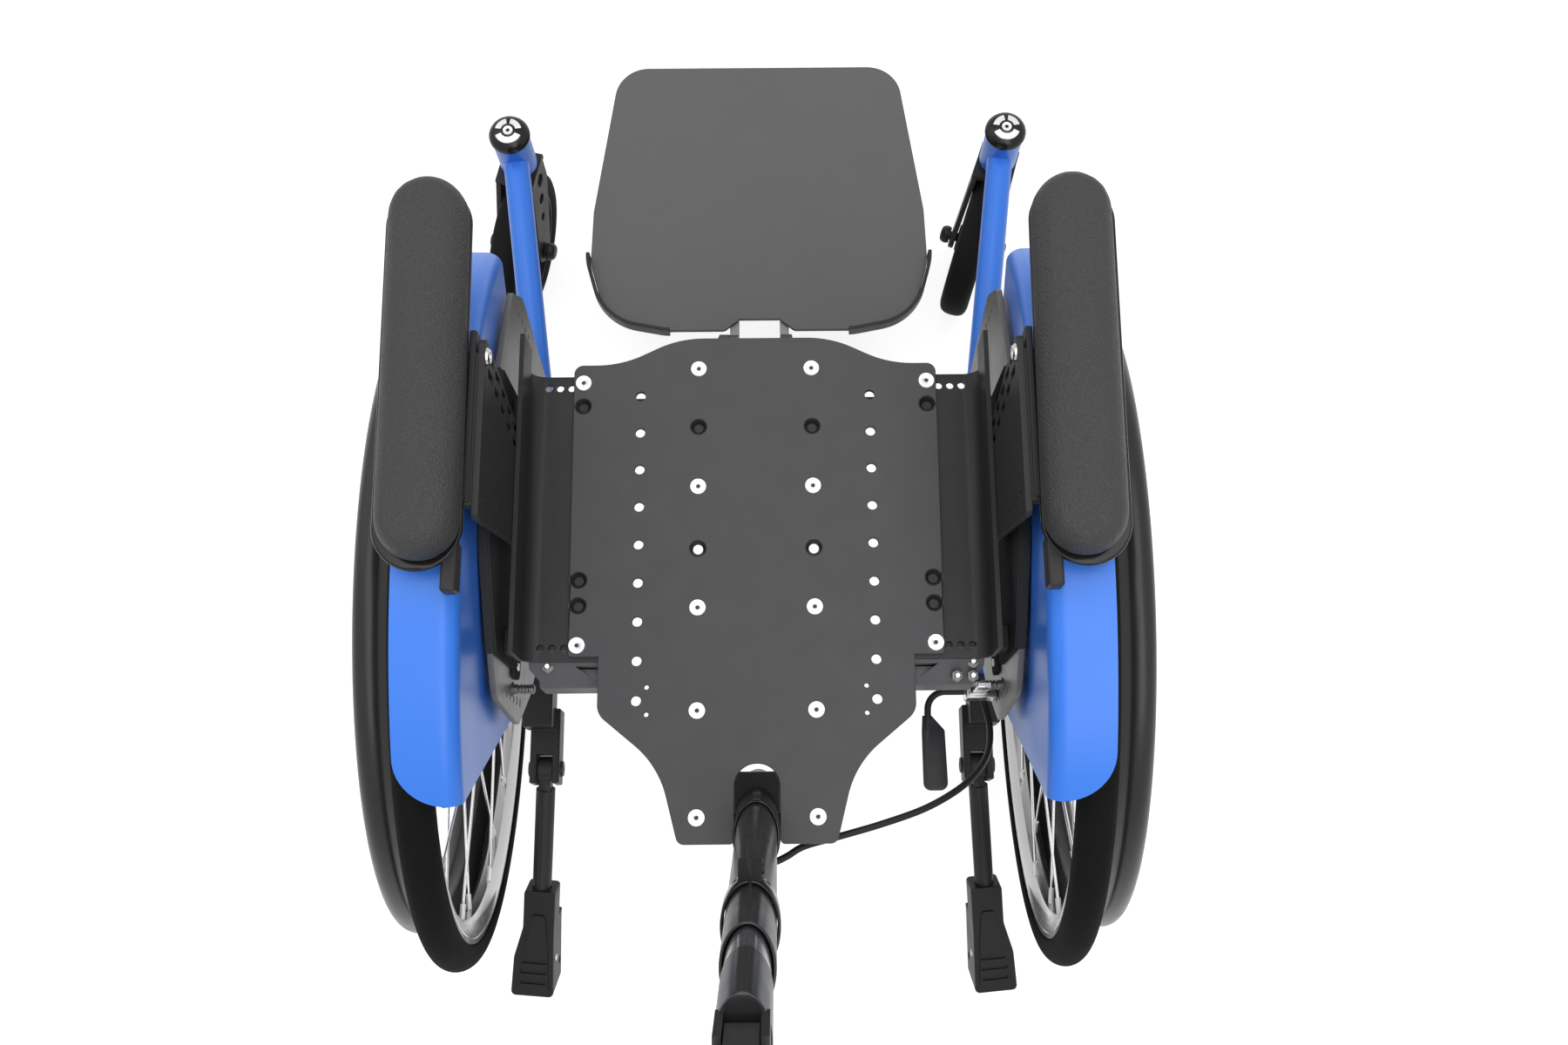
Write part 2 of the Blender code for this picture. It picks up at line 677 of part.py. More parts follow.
def drive_wheel(label, side):
    frame = wheel_frame(side)
    flats = 1 / math.cos(math.pi / WHEEL_STEPS)
    centre = TYRE_R - TYRE_HALF_WIDTH
    sweep = math.acos(-(centre - RIM_R - GAP) / TYRE_HALF_WIDTH)
    section = [(r * flats, h) for r, h in arc((centre, 0), TYRE_HALF_WIDTH, sweep, -sweep, 5)]
    foot = section[0][1]
    section[0], section[-1] = (RIM_R + GAP, foot), (RIM_R + GAP, -foot)
    turned("tyre_" + label, section, frame, RUBBER, WHEEL_STEPS, closed=True)

    well = RIM_R - RIM_DEPTH
    rim = [
        (RIM_R, RIM_HALF_WIDTH), (RIM_R, -RIM_HALF_WIDTH), (RIM_R - 0.009, -RIM_HALF_WIDTH),
        (well, -0.004), (well, 0.004), (RIM_R - 0.009, RIM_HALF_WIDTH),
    ]
    turned("rim_" + label, rim, frame, SILVER, WHEEL_STEPS, closed=True)

    r, h, c = HANDRIM_TUBE_R, HANDRIM_AXIAL, HANDRIM_R - HANDRIM_TUBE_R
    web = RIM_HALF_WIDTH + GAP
    handrim = arc((c, h), r, math.pi / 2, -math.pi / 5, 2)
    handrim += [(RIM_R - 0.004, web + 0.0025), (RIM_R - 0.004, web), (RIM_R - 0.0088, web)]
    handrim += arc((c, h), r, -math.pi / 2, -math.pi * 5 / 4, 2)
    turned("handrim_" + label, handrim, frame, BLACK_PLASTIC, WHEEL_STEPS, closed=True)

    bore = AXLE_R + GAP
    near, far = FLANGE_AXIAL - FLANGE_THICK / 2, FLANGE_AXIAL + FLANGE_THICK / 2
    end = HUB_HALF_LENGTH
    hub = [
        (bore, end), (HUB_R - 0.002, end), (HUB_R, far), (FLANGE_R, far), (FLANGE_R, near), (HUB_R, near),
        (HUB_R, -near), (FLANGE_R, -near), (FLANGE_R, -far), (HUB_R, -far), (HUB_R - 0.002, -end), (bore, -end),
    ]
    hub_body = turned("hub_" + label, hub, frame, BLACK_METAL, 16, closed=True)
    join(hub_body, spokes(label, frame, near, far))
    axle = [
        (0, end + 0.010), (0.006, end + 0.010), (0.0085, end + 0.006), (0.0085, end + GAP),
        (AXLE_R, end + GAP), (AXLE_R, -0.036), (0, -0.036),
    ]
    turned("axle_" + label, axle, frame, CHROME, 16)


def spokes(label, frame, near, far):
    """Crossed spokes from both faces of both hub flanges to the rim."""
    bm = bmesh.new()
    start_r = HUB_R - 0.001
    end_r = (RIM_R - RIM_DEPTH) * math.cos(math.pi / WHEEL_STEPS) - SPOKE_END_GAP
    for k in range(SPOKE_COUNT):
        flange = 1 if k % 2 else -1
        lead = 1 if (k // 2) % 2 else -1
        rim_turn = 2 * math.pi * k / SPOKE_COUNT
        hub_turn = rim_turn - lead * SPOKE_LEAN
        hub_h = far if lead > 0 else near
        rim_h = 0.0034 if lead > 0 else 0.0008
        start = (start_r * math.cos(hub_turn), start_r * math.sin(hub_turn), flange * hub_h)
        end = (end_r * math.cos(rim_turn), end_r * math.sin(rim_turn), flange * rim_h)
        add_rod(bm, start, end, SPOKE_R, SPOKE_SIDES)
    return from_bmesh("spokes_" + label, bm, frame, None)


def front_frame(label, side):
    """The side tube that runs forward from under the side plate to the caster's head tube."""
    name = "frame_" + label
    path = bend([
        (side * FRAME_REAR_X, FRAME_REAR, FRAME_Z, 0),
        (side * FRAME_REAR_X, ROW_Y + 0.045, FRAME_Z, 0.12),
        (side * PIVOT_X, PIVOT_Y, FRAME_Z + 0.006, 0),
    ])
    body = tube(name, path, FRAME_TUBE_R, BLUE, 2)
    pivot = (side * PIVOT_X, PIVOT_Y)
    head = rod(name + "_head", (*pivot, HEAD_LOW), (*pivot, HEAD_TOP), HEAD_R, None, 20)
    bore = rod(name + "_bore", (*pivot, HEAD_LOW - 0.01), (*pivot, HEAD_TOP + 0.01), STEM_R + RUNNING_GAP, None, 16)
    join(body, head)
    cut(body, bore)


def under_frame():
    """Two cross tubes under the seat, with a tube along the chair between them."""
    reach = SIDE_INNER_X - GAP
    front, rear = ROW_Y + CROSS_FRONT, ROW_Y + CROSS_REAR
    frame = rod("under_frame", (-reach, front, FRAME_Z), (reach, front, FRAME_Z), CROSS_TUBE_R, BLUE)
    back = rod("under_frame_rear", (-reach, rear, FRAME_Z), (reach, rear, FRAME_Z), CROSS_TUBE_R, None)
    spine = rod("under_frame_spine", (0, front, FRAME_Z), (0, rear, FRAME_Z), CROSS_TUBE_R * 0.8, None)
    join(frame, back, spine)


def caster_frame(label, side):
    """Frame of a caster at its swivel axis on the floor, with +Y its rolling direction."""
    return Matrix.Translation((side * PIVOT_X, PIVOT_Y, 0)) @ Matrix.Rotation(-CASTER_SWIVEL[label], 4, "Z")


def caster(label, side):
    frame = caster_frame(label, side)
    crown_low = HEAD_LOW - GAP - CROWN_THICK
    name = "caster_fork_" + label
    outer = FORK_INNER + FORK_THICK
    half = outer - FORK_SPREAD + 0.0006
    crown = box(name, (-half, -0.020, crown_low), (half, 0.014, crown_low + CROWN_THICK), BLACK_METAL, frame)
    leg_top = crown_low + CROWN_THICK - 0.0008
    outline = rounded([
        (0.013, leg_top, 0.003),
        (0.010, leg_top - 0.026, 0.02),
        (-CASTER_TRAIL + 0.014, CASTER_R - 0.004, 0.010),
        (-CASTER_TRAIL - 0.002, CASTER_R - 0.014, 0.010),
        (-CASTER_TRAIL - 0.014, CASTER_R + 0.002, 0.010),
        (-0.020, leg_top, 0.006),
    ], 3)
    holes = []
    for k, hole_r in enumerate((0.0060, 0.0048, 0.0038)):
        holes.append(circle(hole_r, 8, (-0.004 - 0.009 * k, leg_top - 0.014 - 0.017 * k)))
    holes.append(circle(CASTER_AXLE_R + RUNNING_GAP, 10, (-CASTER_TRAIL, CASTER_R)))
    for end in (-1, 1):
        lean = Matrix.Rotation(-end * FORK_SPREAD / (leg_top - CASTER_R), 4, "Y")
        foot = Matrix.Translation((end * (FORK_INNER + FORK_THICK / 2), 0, CASTER_R))
        middle = frame @ foot @ lean @ Matrix.Translation((0, 0, -CASTER_R)) @ upright(0)
        leg = flat(name + "_leg" + str(end), outline, FORK_THICK, middle, None, holes)
        join(crown, leg)
    stem = rod(name + "_stem", (0, 0, leg_top - 0.003), (0, 0, HEAD_TOP - 0.004), STEM_R, None, 16, frame)
    join(crown, stem)

    turn = Matrix.Translation((0, -CASTER_TRAIL, CASTER_R)) @ Matrix.Rotation(math.pi / 2, 4, "Y")
    spin = frame @ turn @ Matrix.Rotation(math.pi / CASTER_STEPS, 4, "Z")
    flats = 1 / math.cos(math.pi / CASTER_STEPS)
    core_r, half = CASTER_CORE_R, CASTER_HALF_WIDTH
    tread = [(core_r + GAP, half - 0.001), (0.063, half), (CASTER_R * flats, half * 0.45)]
    tread += [(r, -h) for r, h in reversed(tread)]
    turned("caster_tyre_" + label, tread, spin, RUBBER, CASTER_STEPS, closed=True)
    core = [
        (0.0045, half + 0.002), (0.012, half + 0.002), (0.014, 0.005), (core_r - 0.006, 0.005),
        (core_r, half - 0.002),
    ]
    core += [(r, -h) for r, h in reversed(core)]
    turned("caster_core_" + label, core, spin, BLACK_PLASTIC, CASTER_STEPS, closed=True)
    tip = outer + 0.010
    knob = [
        (0, tip), (0.0060, tip), (0.0080, tip - 0.002), (0.0080, outer + KNOB_GAP), (CASTER_AXLE_R, outer + KNOB_GAP),
        (CASTER_AXLE_R, -outer - KNOB_GAP), (0.0080, -outer - KNOB_GAP), (0.0080, -tip + 0.002), (0.0060, -tip), (0, -tip),
    ]
    turned("caster_axle_" + label, knob, frame @ turn, BLACK_PLASTIC, 12)


def caster_cap(label, side):
    """The round cap that closes the top of a head tube."""
    profile = [(0, CAP_HEIGHT), (CAP_R - 0.004, CAP_HEIGHT), (CAP_R, CAP_HEIGHT - 0.004), (CAP_R, 0), (0, 0)]
    place = Matrix.Translation((side * PIVOT_X, PIVOT_Y, HEAD_TOP + GAP))
    turned("caster_cap_" + label, profile, place, BLACK_PLASTIC, 20)


def footplate():
    mid_y = FOOT_REAR + 0.092
    right_half = [
        (0, FOOT_FRONT, 0),
        (FOOT_FRONT_HALF - 0.003, FOOT_FRONT, 0.030),
        (FOOT_HALF - 0.0015, mid_y + 0.020, 0.05),
        (FOOT_HALF, mid_y - 0.030, 0.05),
        (FOOT_HALF * 0.90, FOOT_REAR + 0.010, 0.045),
        (FOOT_HALF * 0.55, FOOT_REAR, 0.040),
        (NOTCH_HALF + NOTCH_SLOPE, FOOT_REAR, 0.006),
        (NOTCH_HALF, FOOT_REAR + NOTCH_DEPTH, 0.002),
    ]
    outline = rounded(right_half + [(-x, y, radius) for x, y, radius in reversed(right_half[1:])], 5)
    flat("footplate", outline, FOOT_THICK, level(FOOT_TOP - FOOT_THICK / 2), FOOT_GREY)
    inner = [point for point in outline if point[0] > NOTCH_HALF + NOTCH_SLOPE + 0.006 and point[1] < mid_y + 0.012]
    for label, side in SIDES:
        loop = [(side * x, y) for x, y in offset_path(inner, GAP)]
        loop += [(side * x, y) for x, y in reversed(offset_path(inner, GAP + EDGE_LIP_THICK))]
        height = FOOT_THICK + EDGE_LIP_HEIGHT
        frame = level(FOOT_TOP - FOOT_THICK + height / 2)
        flat("footplate_edge_" + label, loop, height, frame, BLACK_PLASTIC)


def offset_path(points, distance):
    """The open path moved sideways to its right by a distance."""
    moved = []
    for i, point in enumerate(points):
        before = Vector(points[max(i - 1, 0)])
        after = Vector(points[min(i + 1, len(points) - 1)])
        along = (after - before).normalized()
        moved.append((point[0] - along.y * distance, point[1] + along.x * distance))
    return moved


def footplate_hanger():
    """Two bars from the channel under the seat down to the footplate, with a foot below it."""
    top = SEAT_TOP - PLATE_THICK - 0.018
    low = FOOT_TOP - FOOT_THICK - GAP
    foot_y = FOOT_REAR - 0.005
    outline = rounded([
        (ROW_Y + FRONT_MEMBER_REACH + GAP, top + 0.014, 0),
        (ROW_Y + FRONT_MEMBER_REACH + GAP, top - 0.006, 0),
        (HANGER_TOP_Y - 0.006, top - 0.018, 0.01),
        (foot_y - 0.018, low - 0.002, 0.008),
        (foot_y + 0.002, low - 0.012, 0.006),
        (foot_y + 0.070, low - 0.010, 0.003),
        (foot_y + 0.070, low, 0),
        (foot_y + 0.002, low, 0),
        (foot_y - 0.012, low + 0.030, 0.02),
        (HANGER_TOP_Y + 0.009, top - 0.010, 0.012),
        (HANGER_TOP_Y - 0.003, top + 0.014, 0.006),
    ], 3)
    hanger = flat("footplate_hanger", outline, HANGER_THICK, upright(-HANGER_X), SILVER)
    other = flat("footplate_hanger_bar", outline, HANGER_THICK, upright(HANGER_X), None)
    inner = HANGER_X - HANGER_THICK / 2
    rung = (foot_y + 0.040, low - 0.005)
    bridge = rod("hanger_rung", (-inner - 0.003, *rung), (inner + 0.003, *rung), 0.004, None, 10)
    join(hanger, bridge, other)


def armrest(label, side):
    """A padded armrest on a slotted bracket that stands on the outside of the seat rail."""
    inner_x = RAIL_WALL_X + RAIL_THICK + GAP
    middle = inner_x + BRACKET_THICK / 2
    y = ROW_Y
    low = SEAT_TOP - 0.012
    outline = rounded([
        (y - 0.011, BRACKET_TOP - 0.001, 0.004),
        (y - 0.033, low + 0.010, 0.006),
        (y - 0.040, low, 0.006),
        (y - 0.100, low, 0.010),
        (y - 0.118, BRACKET_TOP - 0.001, 0.004),
    ])
    holes = []
    rows = int((BRACKET_TOP - low - VENT_TOP - VENT_LENGTH) / VENT_PITCH)
    for row in range(rows):
        top_z = BRACKET_TOP - VENT_TOP - VENT_PITCH * row
        for column in (0.019, 0.029):
            slot_y = y - column - 0.0033 * row
            corners = [(slot_y - 0.0022, top_z, 0), (slot_y + 0.0022, top_z + 0.002, 0)]
            corners += [(slot_y + 0.0015, top_z + 0.002 - VENT_LENGTH, 0), (slot_y - 0.0029, top_z - VENT_LENGTH, 0)]
            holes.append(rounded(corners))
    name = "armrest_bracket_" + label
    bracket = flat(name, outline, BRACKET_THICK, upright(side * middle), BLACK_METAL, holes)
    half, straight = PAD_BASE_WIDTH / 2, (PAD_BASE_LENGTH - PAD_BASE_WIDTH) / 2
    stadium = arc((0, straight), half, 0, math.pi, 6) + arc((0, -straight), half, math.pi, 2 * math.pi, 6)
    base_place = Matrix.Translation((side * PAD_BASE_X, PAD_Y, BRACKET_TOP - PAD_BASE_THICK / 2))
    base_place = base_place @ Matrix.Rotation(-side * PAD_TOE, 4, "Z")
    shelf = flat(name + "_base", stadium, PAD_BASE_THICK, base_place, None)
    rib_x = sorted((side * inner_x, side * (PAD_X - 0.010)))
    rib_low = (rib_x[0], y - 0.110, BRACKET_TOP - 0.010)
    rib = box(name + "_rib", rib_low, (rib_x[1], y - 0.020, BRACKET_TOP - 0.002), None)
    tab_x = sorted((side * (PAD_X - 0.0212), side * (PAD_X - 0.0122)))
    tab = box(name + "_tab", (tab_x[0], y - 0.158, BRACKET_TOP - 0.013), (tab_x[1], y - 0.130, BRACKET_TOP), None)
    join(bracket, rib, shelf, tab)

    place = Matrix.Translation((side * PAD_X, PAD_Y, BRACKET_TOP + GAP))
    place = place @ Matrix.Rotation(-side * PAD_TOE, 4, "Z")
    pad_form("armrest_pad_" + label, place)


def pad_form(name, place):
    """A crowned pad with round ends: rings of a stadium that draw in to its flat base."""
    rings = ((0.0, 0.90), (0.003, 0.97), (0.010, 1.0), (0.019, 0.96), (0.0255, 0.78), (PAD_HEIGHT, 0.42))
    bm = bmesh.new()
    loops = []
    half_width = PAD_WIDTH / 2
    straight = PAD_LENGTH / 2 - half_width
    for height, share in rings:
        radius = half_width * share
        loop = arc((0, straight), radius, 0, math.pi, 8) + arc((0, -straight), radius, math.pi, 2 * math.pi, 8)
        loops.append([bm.verts.new((x, y, height)) for x, y in loop])
    for lower, upper in zip(loops, loops[1:]):
        for k in range(len(lower)):
            n = (k + 1) % len(lower)
            bm.faces.new((lower[k], lower[n], upper[n], upper[k]))
    bm.faces.new(list(reversed(loops[0])))
    bm.faces.new(loops[-1])
    from_bmesh(name, bm, place, PAD_LEATHER, smooth=True)


def fender(label, side):
    """A guard over the tyre: one skin, bent from the arch down into the wall beside the seat."""
    frame = camber_frame(side)
    columns = 14
    length = FENDER_R * (FENDER_REAR_ANGLE - FENDER_FRONT_ANGLE)
    low_front, low_rear = Vector(FENDER_WALL_FRONT), Vector(FENDER_WALL_REAR)
    bm = bmesh.new()
    grid = []
    for i in range(columns + 1):
        share = 0.5 - 0.5 * math.cos(math.pi * i / columns)
        turn = FENDER_FRONT_ANGLE + (FENDER_REAR_ANGLE - FENDER_FRONT_ANGLE) * share
        top = Vector((math.cos(turn), math.sin(turn))) * FENDER_R
        bottom = low_front.lerp(low_rear, share)
        down = (bottom - top).normalized()
        to_end = FENDER_CORNER - length * (1 - share)
        drawn_in = 0
        if to_end > 0:
            drawn_in = FENDER_CORNER - math.sqrt(max(FENDER_CORNER ** 2 - to_end ** 2, 0))
        outer = FENDER_OUTER - min(drawn_in, FENDER_CORNER)
        inner = FENDER_INNER + FENDER_BEND
        row = [(outer + (inner - outer) * k / 3, top) for k in range(4)]
        for k in range(1, 4):
            swing = math.pi / 2 * k / 3
            level_in = inner - FENDER_BEND * math.sin(swing)
            row.append((level_in, top + down * FENDER_BEND * (1 - math.cos(swing))))
        row += [(FENDER_INNER, (top + down * FENDER_BEND).lerp(bottom, k / 2)) for k in (1, 2)]
        grid.append([bm.verts.new((side * across, y, z)) for across, (y, z) in row])
    for first, second in zip(grid, grid[1:]):
        for k in range(len(first) - 1):
            bm.faces.new((first[k], first[k + 1], second[k + 1], second[k]))
    obj = from_bmesh("fender_" + label, bm, frame, BLUE, smooth=True)
    skin = obj.modifiers.new("Skin", "SOLIDIFY")
    skin.thickness = FENDER_THICK
    skin.offset = 0


def tip_frame(side):
    """Frame of an anti-tipper at its hinge: local Y runs back down the arm, Z is its upper side."""
    swing = Matrix.Rotation(side * TIP_SPLAY, 4, "Z") @ Matrix.Rotation(TIP_SLOPE, 4, "X")
    return Matrix.Translation((side * TIP_X, TIP_HINGE_Y, TIP_HINGE_Z)) @ swing


def anti_tipper(label, side):
    name = "tip_bracket_" + label
    x = side * TIP_X
    y, z = TIP_HINGE_Y, TIP_HINGE_Z
    front = FRAME_REAR - GAP
    mount_x = sorted((side * (FRAME_REAR_X - 0.015), side * (FRAME_REAR_X + 0.008)))
    body = box(name, (x - 0.0115, y - 0.012, z - 0.010), (x + 0.0115, y + 0.046, z + 0.012), BLACK_PLASTIC)
    block = box(name + "_mount", (mount_x[0], y + 0.030, FRAME_Z - 0.013), (mount_x[1], front, FRAME_Z + 0.013), None)
    eye_half = TIP_EYE_HALF + RUNNING_GAP
    slot = box(name + "_slot", (x - eye_half, y - 0.020, z - 0.020), (x + eye_half, y + 0.0103, z + 0.020), None)
    join(body, block)
    cut(body, slot)
    join(body, rod(name + "_pin", (x - 0.0110, y, z), (x + 0.0110, y, z), TIP_PIN_R, None, 12))

    frame = tip_frame(side)
    arm_name = "tip_arm_" + label
    arm = rod(arm_name, (0, -0.0165, 0), (0, -TIP_FOOT_START - 0.045, 0), TIP_TUBE_R, BLACK_METAL, 12, frame)
    eye_place = Matrix.Translation((x, y, z))
    eye = rod(arm_name + "_eye", (-TIP_EYE_HALF, 0, 0), (TIP_EYE_HALF, 0, 0), 0.0095, None, 16, eye_place)
    neck = box(arm_name + "_neck", (-0.0045, -0.026, -0.006), (0.0045, -0.004, 0.006), None, frame)
    pin_hole = rod(arm_name + "_hole", (x - 0.03, y, z), (x + 0.03, y, z), TIP_PIN_R + GAP, None, 12)
    join(arm, neck, eye)
    cut(arm, pin_hole)

    foot_name = "tip_foot_" + label
    start, end = -TIP_FOOT_START, -TIP_FOOT_START - TIP_FOOT_LENGTH
    shape = rounded([
        (-side * 0.0125, start, 0.003), (-side * 0.0125, start - 0.040, 0.020), (-side * 0.0140, end, 0.004),
        (side * 0.0205, end, 0.004), (side * 0.0190, end + 0.034, 0.020), (side * 0.0125, start - 0.032, 0.016),
        (side * 0.0125, start, 0.003),
    ], 2)
    depth = 0.036
    foot = flat(foot_name, shape, depth, frame @ level(-0.008), BLACK_PLASTIC)
    wheel_at = Vector((side * 0.003, end + TIP_WHEEL_INSET, -0.018))
    half = TIP_WHEEL_HALF + 0.0012
    pocket_low = (wheel_at.x - half, end - 0.01, -0.040)
    pocket_high = (wheel_at.x + half, end + 0.050, wheel_at.z + TIP_WHEEL_R + 0.0012)
    pocket = box(foot_name + "_pocket", pocket_low, pocket_high, None, frame)
    sleeve = rod(
        foot_name + "_sleeve", (0, start + 0.01, 0), (0, start - 0.0455, 0), TIP_TUBE_R + GAP, None, 12, frame
    )
    relief = box(foot_name + "_relief", (-0.03, start + 0.01, -0.040), (0.03, start - 0.030, -0.012), None, frame)
    cut(foot, pocket, sleeve, relief)
    hole = rod(
        foot_name + "_hole", wheel_at + Vector((-0.03, 0, 0)), wheel_at + Vector((0.03, 0, 0)), 0.003 + GAP,
        None, 10, frame,
    )
    cut(foot, hole)
    axis = frame @ Matrix.Translation(wheel_at) @ Matrix.Rotation(math.pi / 2, 4, "Y")
    profile = [
        (0, 0.0125), (0.003, 0.0125), (0.003, TIP_WHEEL_HALF), (TIP_WHEEL_R - 0.002, TIP_WHEEL_HALF),
        (TIP_WHEEL_R, TIP_WHEEL_HALF - 0.003), (TIP_WHEEL_R, -TIP_WHEEL_HALF + 0.003),
        (TIP_WHEEL_R - 0.002, -TIP_WHEEL_HALF), (0.003, -TIP_WHEEL_HALF), (0.003, -0.0125), (0, -0.0125),
    ]
    turned("tip_wheel_" + label, profile, axis, RUBBER, 20)


def post_frame(distance):
    """Frame on the leaning post's axis, at a distance along it from the seat plate."""
    base = Matrix.Translation((0, POST_BASE_Y, SEAT_TOP)) @ Matrix.Rotation(POST_LEAN, 4, "X")
    return base @ Matrix.Translation((0, 0, distance))


def oval(half_x, half_y, sides=24):
    return circle(half_x, sides, stretch=half_y / half_x)


def oval_tube(name, grow, bore_grow, low, high, material, sides=24):
    """A piece of the post between two distances: the post's oval, grown, with an oval bore."""
    outer = oval(POST_HALF_X + grow, POST_HALF_Y + grow, sides)
    holes = [] if bore_grow is None else [oval(POST_HALF_X + bore_grow, POST_HALF_Y + bore_grow, sides)]
    return flat(name, outer, high - low, post_frame((low + high) / 2), material, holes)


def push_post():
    wall = GAP + SOCKET_WALL
    socket = oval_tube("post_socket", wall, GAP, SOCKET_LOW, SOCKET_TOP, BLACK_PLASTIC)
    front = RAIL_REAR + REAR_BAR_FRONT - REAR_BAR_WIDTH - GAP
    rear = POST_BASE_Y - 0.004
    low, high = SEAT_TOP - 0.046, SEAT_TOP - 0.012
    arms = [box("post_socket_boss", (-ARM_OUTER, rear, low), (ARM_OUTER, rear + 0.012, high), None)]
    nose_y, nose_x = POST_BASE_Y + POST_HALF_Y + 0.0095, POST_HALF_X + 0.0014
    nose = arc((0, nose_y - nose_x), nose_x, 0, math.pi, 6)
    nose += [(-nose_x, POST_BASE_Y + 0.006), (nose_x, POST_BASE_Y + 0.006)]
    arms.append(flat("post_socket_nose", nose, 0.030, level(SEAT_TOP - 0.016), None))
    for side in (-1, 1):
        arm_x = sorted((side * ARM_INNER, side * (ARM_OUTER - 0.001)))
        arm_low, arm_high = (arm_x[0], rear + 0.004, low + 0.004), (arm_x[1], front, high - 0.004)
        arms.append(box("post_socket_arm" + str(side), arm_low, arm_high, None))
    bore = oval_tube("post_socket_bore", GAP, None, SOCKET_LOW - 0.01, SOCKET_TOP + 0.01, None)
    join(socket, *arms)
    cut(socket, bore)
    oval_tube("post_tube", 0, -POST_WALL, SOCKET_LOW + 0.004, POST_TOP, BLACK_METAL)
    clamp = oval_tube("post_clamp", GAP + CLAMP_WALL, GAP, CLAMP_LOW, CLAMP_TOP, BLACK_PLASTIC)
    front_y = POST_HALF_Y + GAP + CLAMP_WALL
    ear = box(
        "post_clamp_ear", (-0.009, front_y - 0.0012, CLAMP_LOW + 0.002), (0.009, front_y + 0.007, CLAMP_TOP - 0.002),
        None, post_frame(0),
    )
    join(clamp, ear)
    inner = -POST_WALL - RUNNING_GAP
    post = oval_tube("inner_post", inner, None, INNER_LOW, BAND_TOP + 0.002, SILVER)
    head = oval_tube("inner_post_head", inner + 0.0008, None, BAND_TOP, JOINT_TOP, None)
    join(post, head)
    for side in (-1, 1):
        low_x, high_x = sorted((side * (0.0062 + RUNNING_GAP), side * 0.0098))
        lug_low = (low_x, -0.011, JOINT_TOP - 0.003)
        lug = box("inner_post_lug" + str(side), lug_low, (high_x, 0.011, BAR_HINGE + 0.010), None, post_frame(0))
        join(post, lug)
    join(post, rod("inner_post_pin", (-0.009, 0, 0), (0.009, 0, 0), BAR_PIN_R, None, 10, post_frame(BAR_HINGE)))


def push_bar():
    """The tilting bar on top of the post, with its two grips."""
    hinge = post_frame(BAR_HINGE)
    top = BAR_REACH
    bar = box("push_bar", (-0.0062, -0.009, -0.009), (0.0062, 0.009, 0.030), BLACK_METAL, hinge)
    stem = rod("push_bar_stem", (0, 0, 0.020), (0, 0, top), BAR_R, None, 16, hinge)
    cross = rod("push_bar_cross", (-BAR_HALF_WIDTH, 0, top), (BAR_HALF_WIDTH, 0, top), BAR_R, None, 16, hinge)
    join(bar, stem, cross)
    cut(bar, rod("push_bar_hole", (-0.02, 0, 0), (0.02, 0, 0), BAR_PIN_R + GAP, None, 10, hinge))
    along = hinge @ Matrix.Translation((0, 0, top)) @ Matrix.Rotation(math.pi / 2, 4, "Y")
    for label, side in SIDES:
        middle = side * (BAR_HALF_WIDTH - GRIP_LENGTH / 2)
        frame = along @ Matrix.Translation((0, 0, middle))
        flat("push_grip_" + label, circle(GRIP_R, 20), GRIP_LENGTH, frame, RUBBER, [circle(BAR_R + GAP, 20)])


def release_lever():
    """A cranked lever with a flat paddle, its clamp block on the cross member, and its cable."""
    z = LEVER_Z
    block_low = (LEVER_BLOCK_LOW, LEVER_Y - 0.009, z - 0.009)
    block_high = (SIDE_INNER_X - GAP, LEVER_Y + 0.002, z + 0.009)
    block = box("lever_block", block_low, block_high, CHROME)
    stop = SEAT_TOP - PLATE_THICK - GAP - RAIL_THICK - 0.042
    ear_low = (LEVER_BLOCK_LOW + 0.004, LEVER_Y - 0.0060, z + 0.006)
    ear_high = (LEVER_BLOCK_LOW + 0.014, LEVER_Y - 0.0020, stop - GAP)
    join(block, box("lever_block_ear", ear_low, ear_high, None))

    rod_y = LEVER_Y - 0.0035
    path = bend([
        (LEVER_BLOCK_LOW - GAP, rod_y, z, 0),
        (LEVER_X - 0.003, rod_y, z, 0.012),
        (LEVER_X - 0.004, rod_y - 0.034, z - 0.002, 0),
    ])
    lever = tube("release_lever", path, LEVER_ROD_R, BLACK_METAL, 2)
    start = rod_y - 0.016
    shape = rounded([
        (LEVER_X - 0.007, start, 0), (LEVER_X - 0.001, start, 0), (LEVER_X + PADDLE_HALF, start - 0.010, 0.003),
        (LEVER_X + PADDLE_HALF + 0.001, start - 0.010 - PADDLE_LENGTH, 0.005),
        (LEVER_X - PADDLE_HALF, start - 0.010 - PADDLE_LENGTH, 0.005), (LEVER_X - PADDLE_HALF, start - 0.010, 0.003),
    ])
    paddle = flat("release_lever_paddle", shape, 0.005, level(z - 0.002), None)
    join(lever, paddle)
    route = [Vector((x, ROW_Y + y, SEAT_TOP + dz)) for x, y, dz in CABLE_ROUTE]
    tube("release_cable", smooth_route(route, 3), CABLE_R, BLACK_PLASTIC, 1)


def smooth_route(points, steps):
    """Points on a smooth curve through the route's own points."""
    ends = [2 * points[0] - points[1], *points, 2 * points[-1] - points[-2]]
    path = []
    for a, b, c, d in zip(ends, ends[1:], ends[2:], ends[3:]):
        for k in range(steps):
            t = k / steps
            cubic = 2 * b + (c - a) * t + (2 * a - 5 * b + 4 * c - d) * t ** 2
            path.append((cubic + (3 * b - a - 3 * c + d) * t ** 3) / 2)
    path.append(points[-1])
    return path


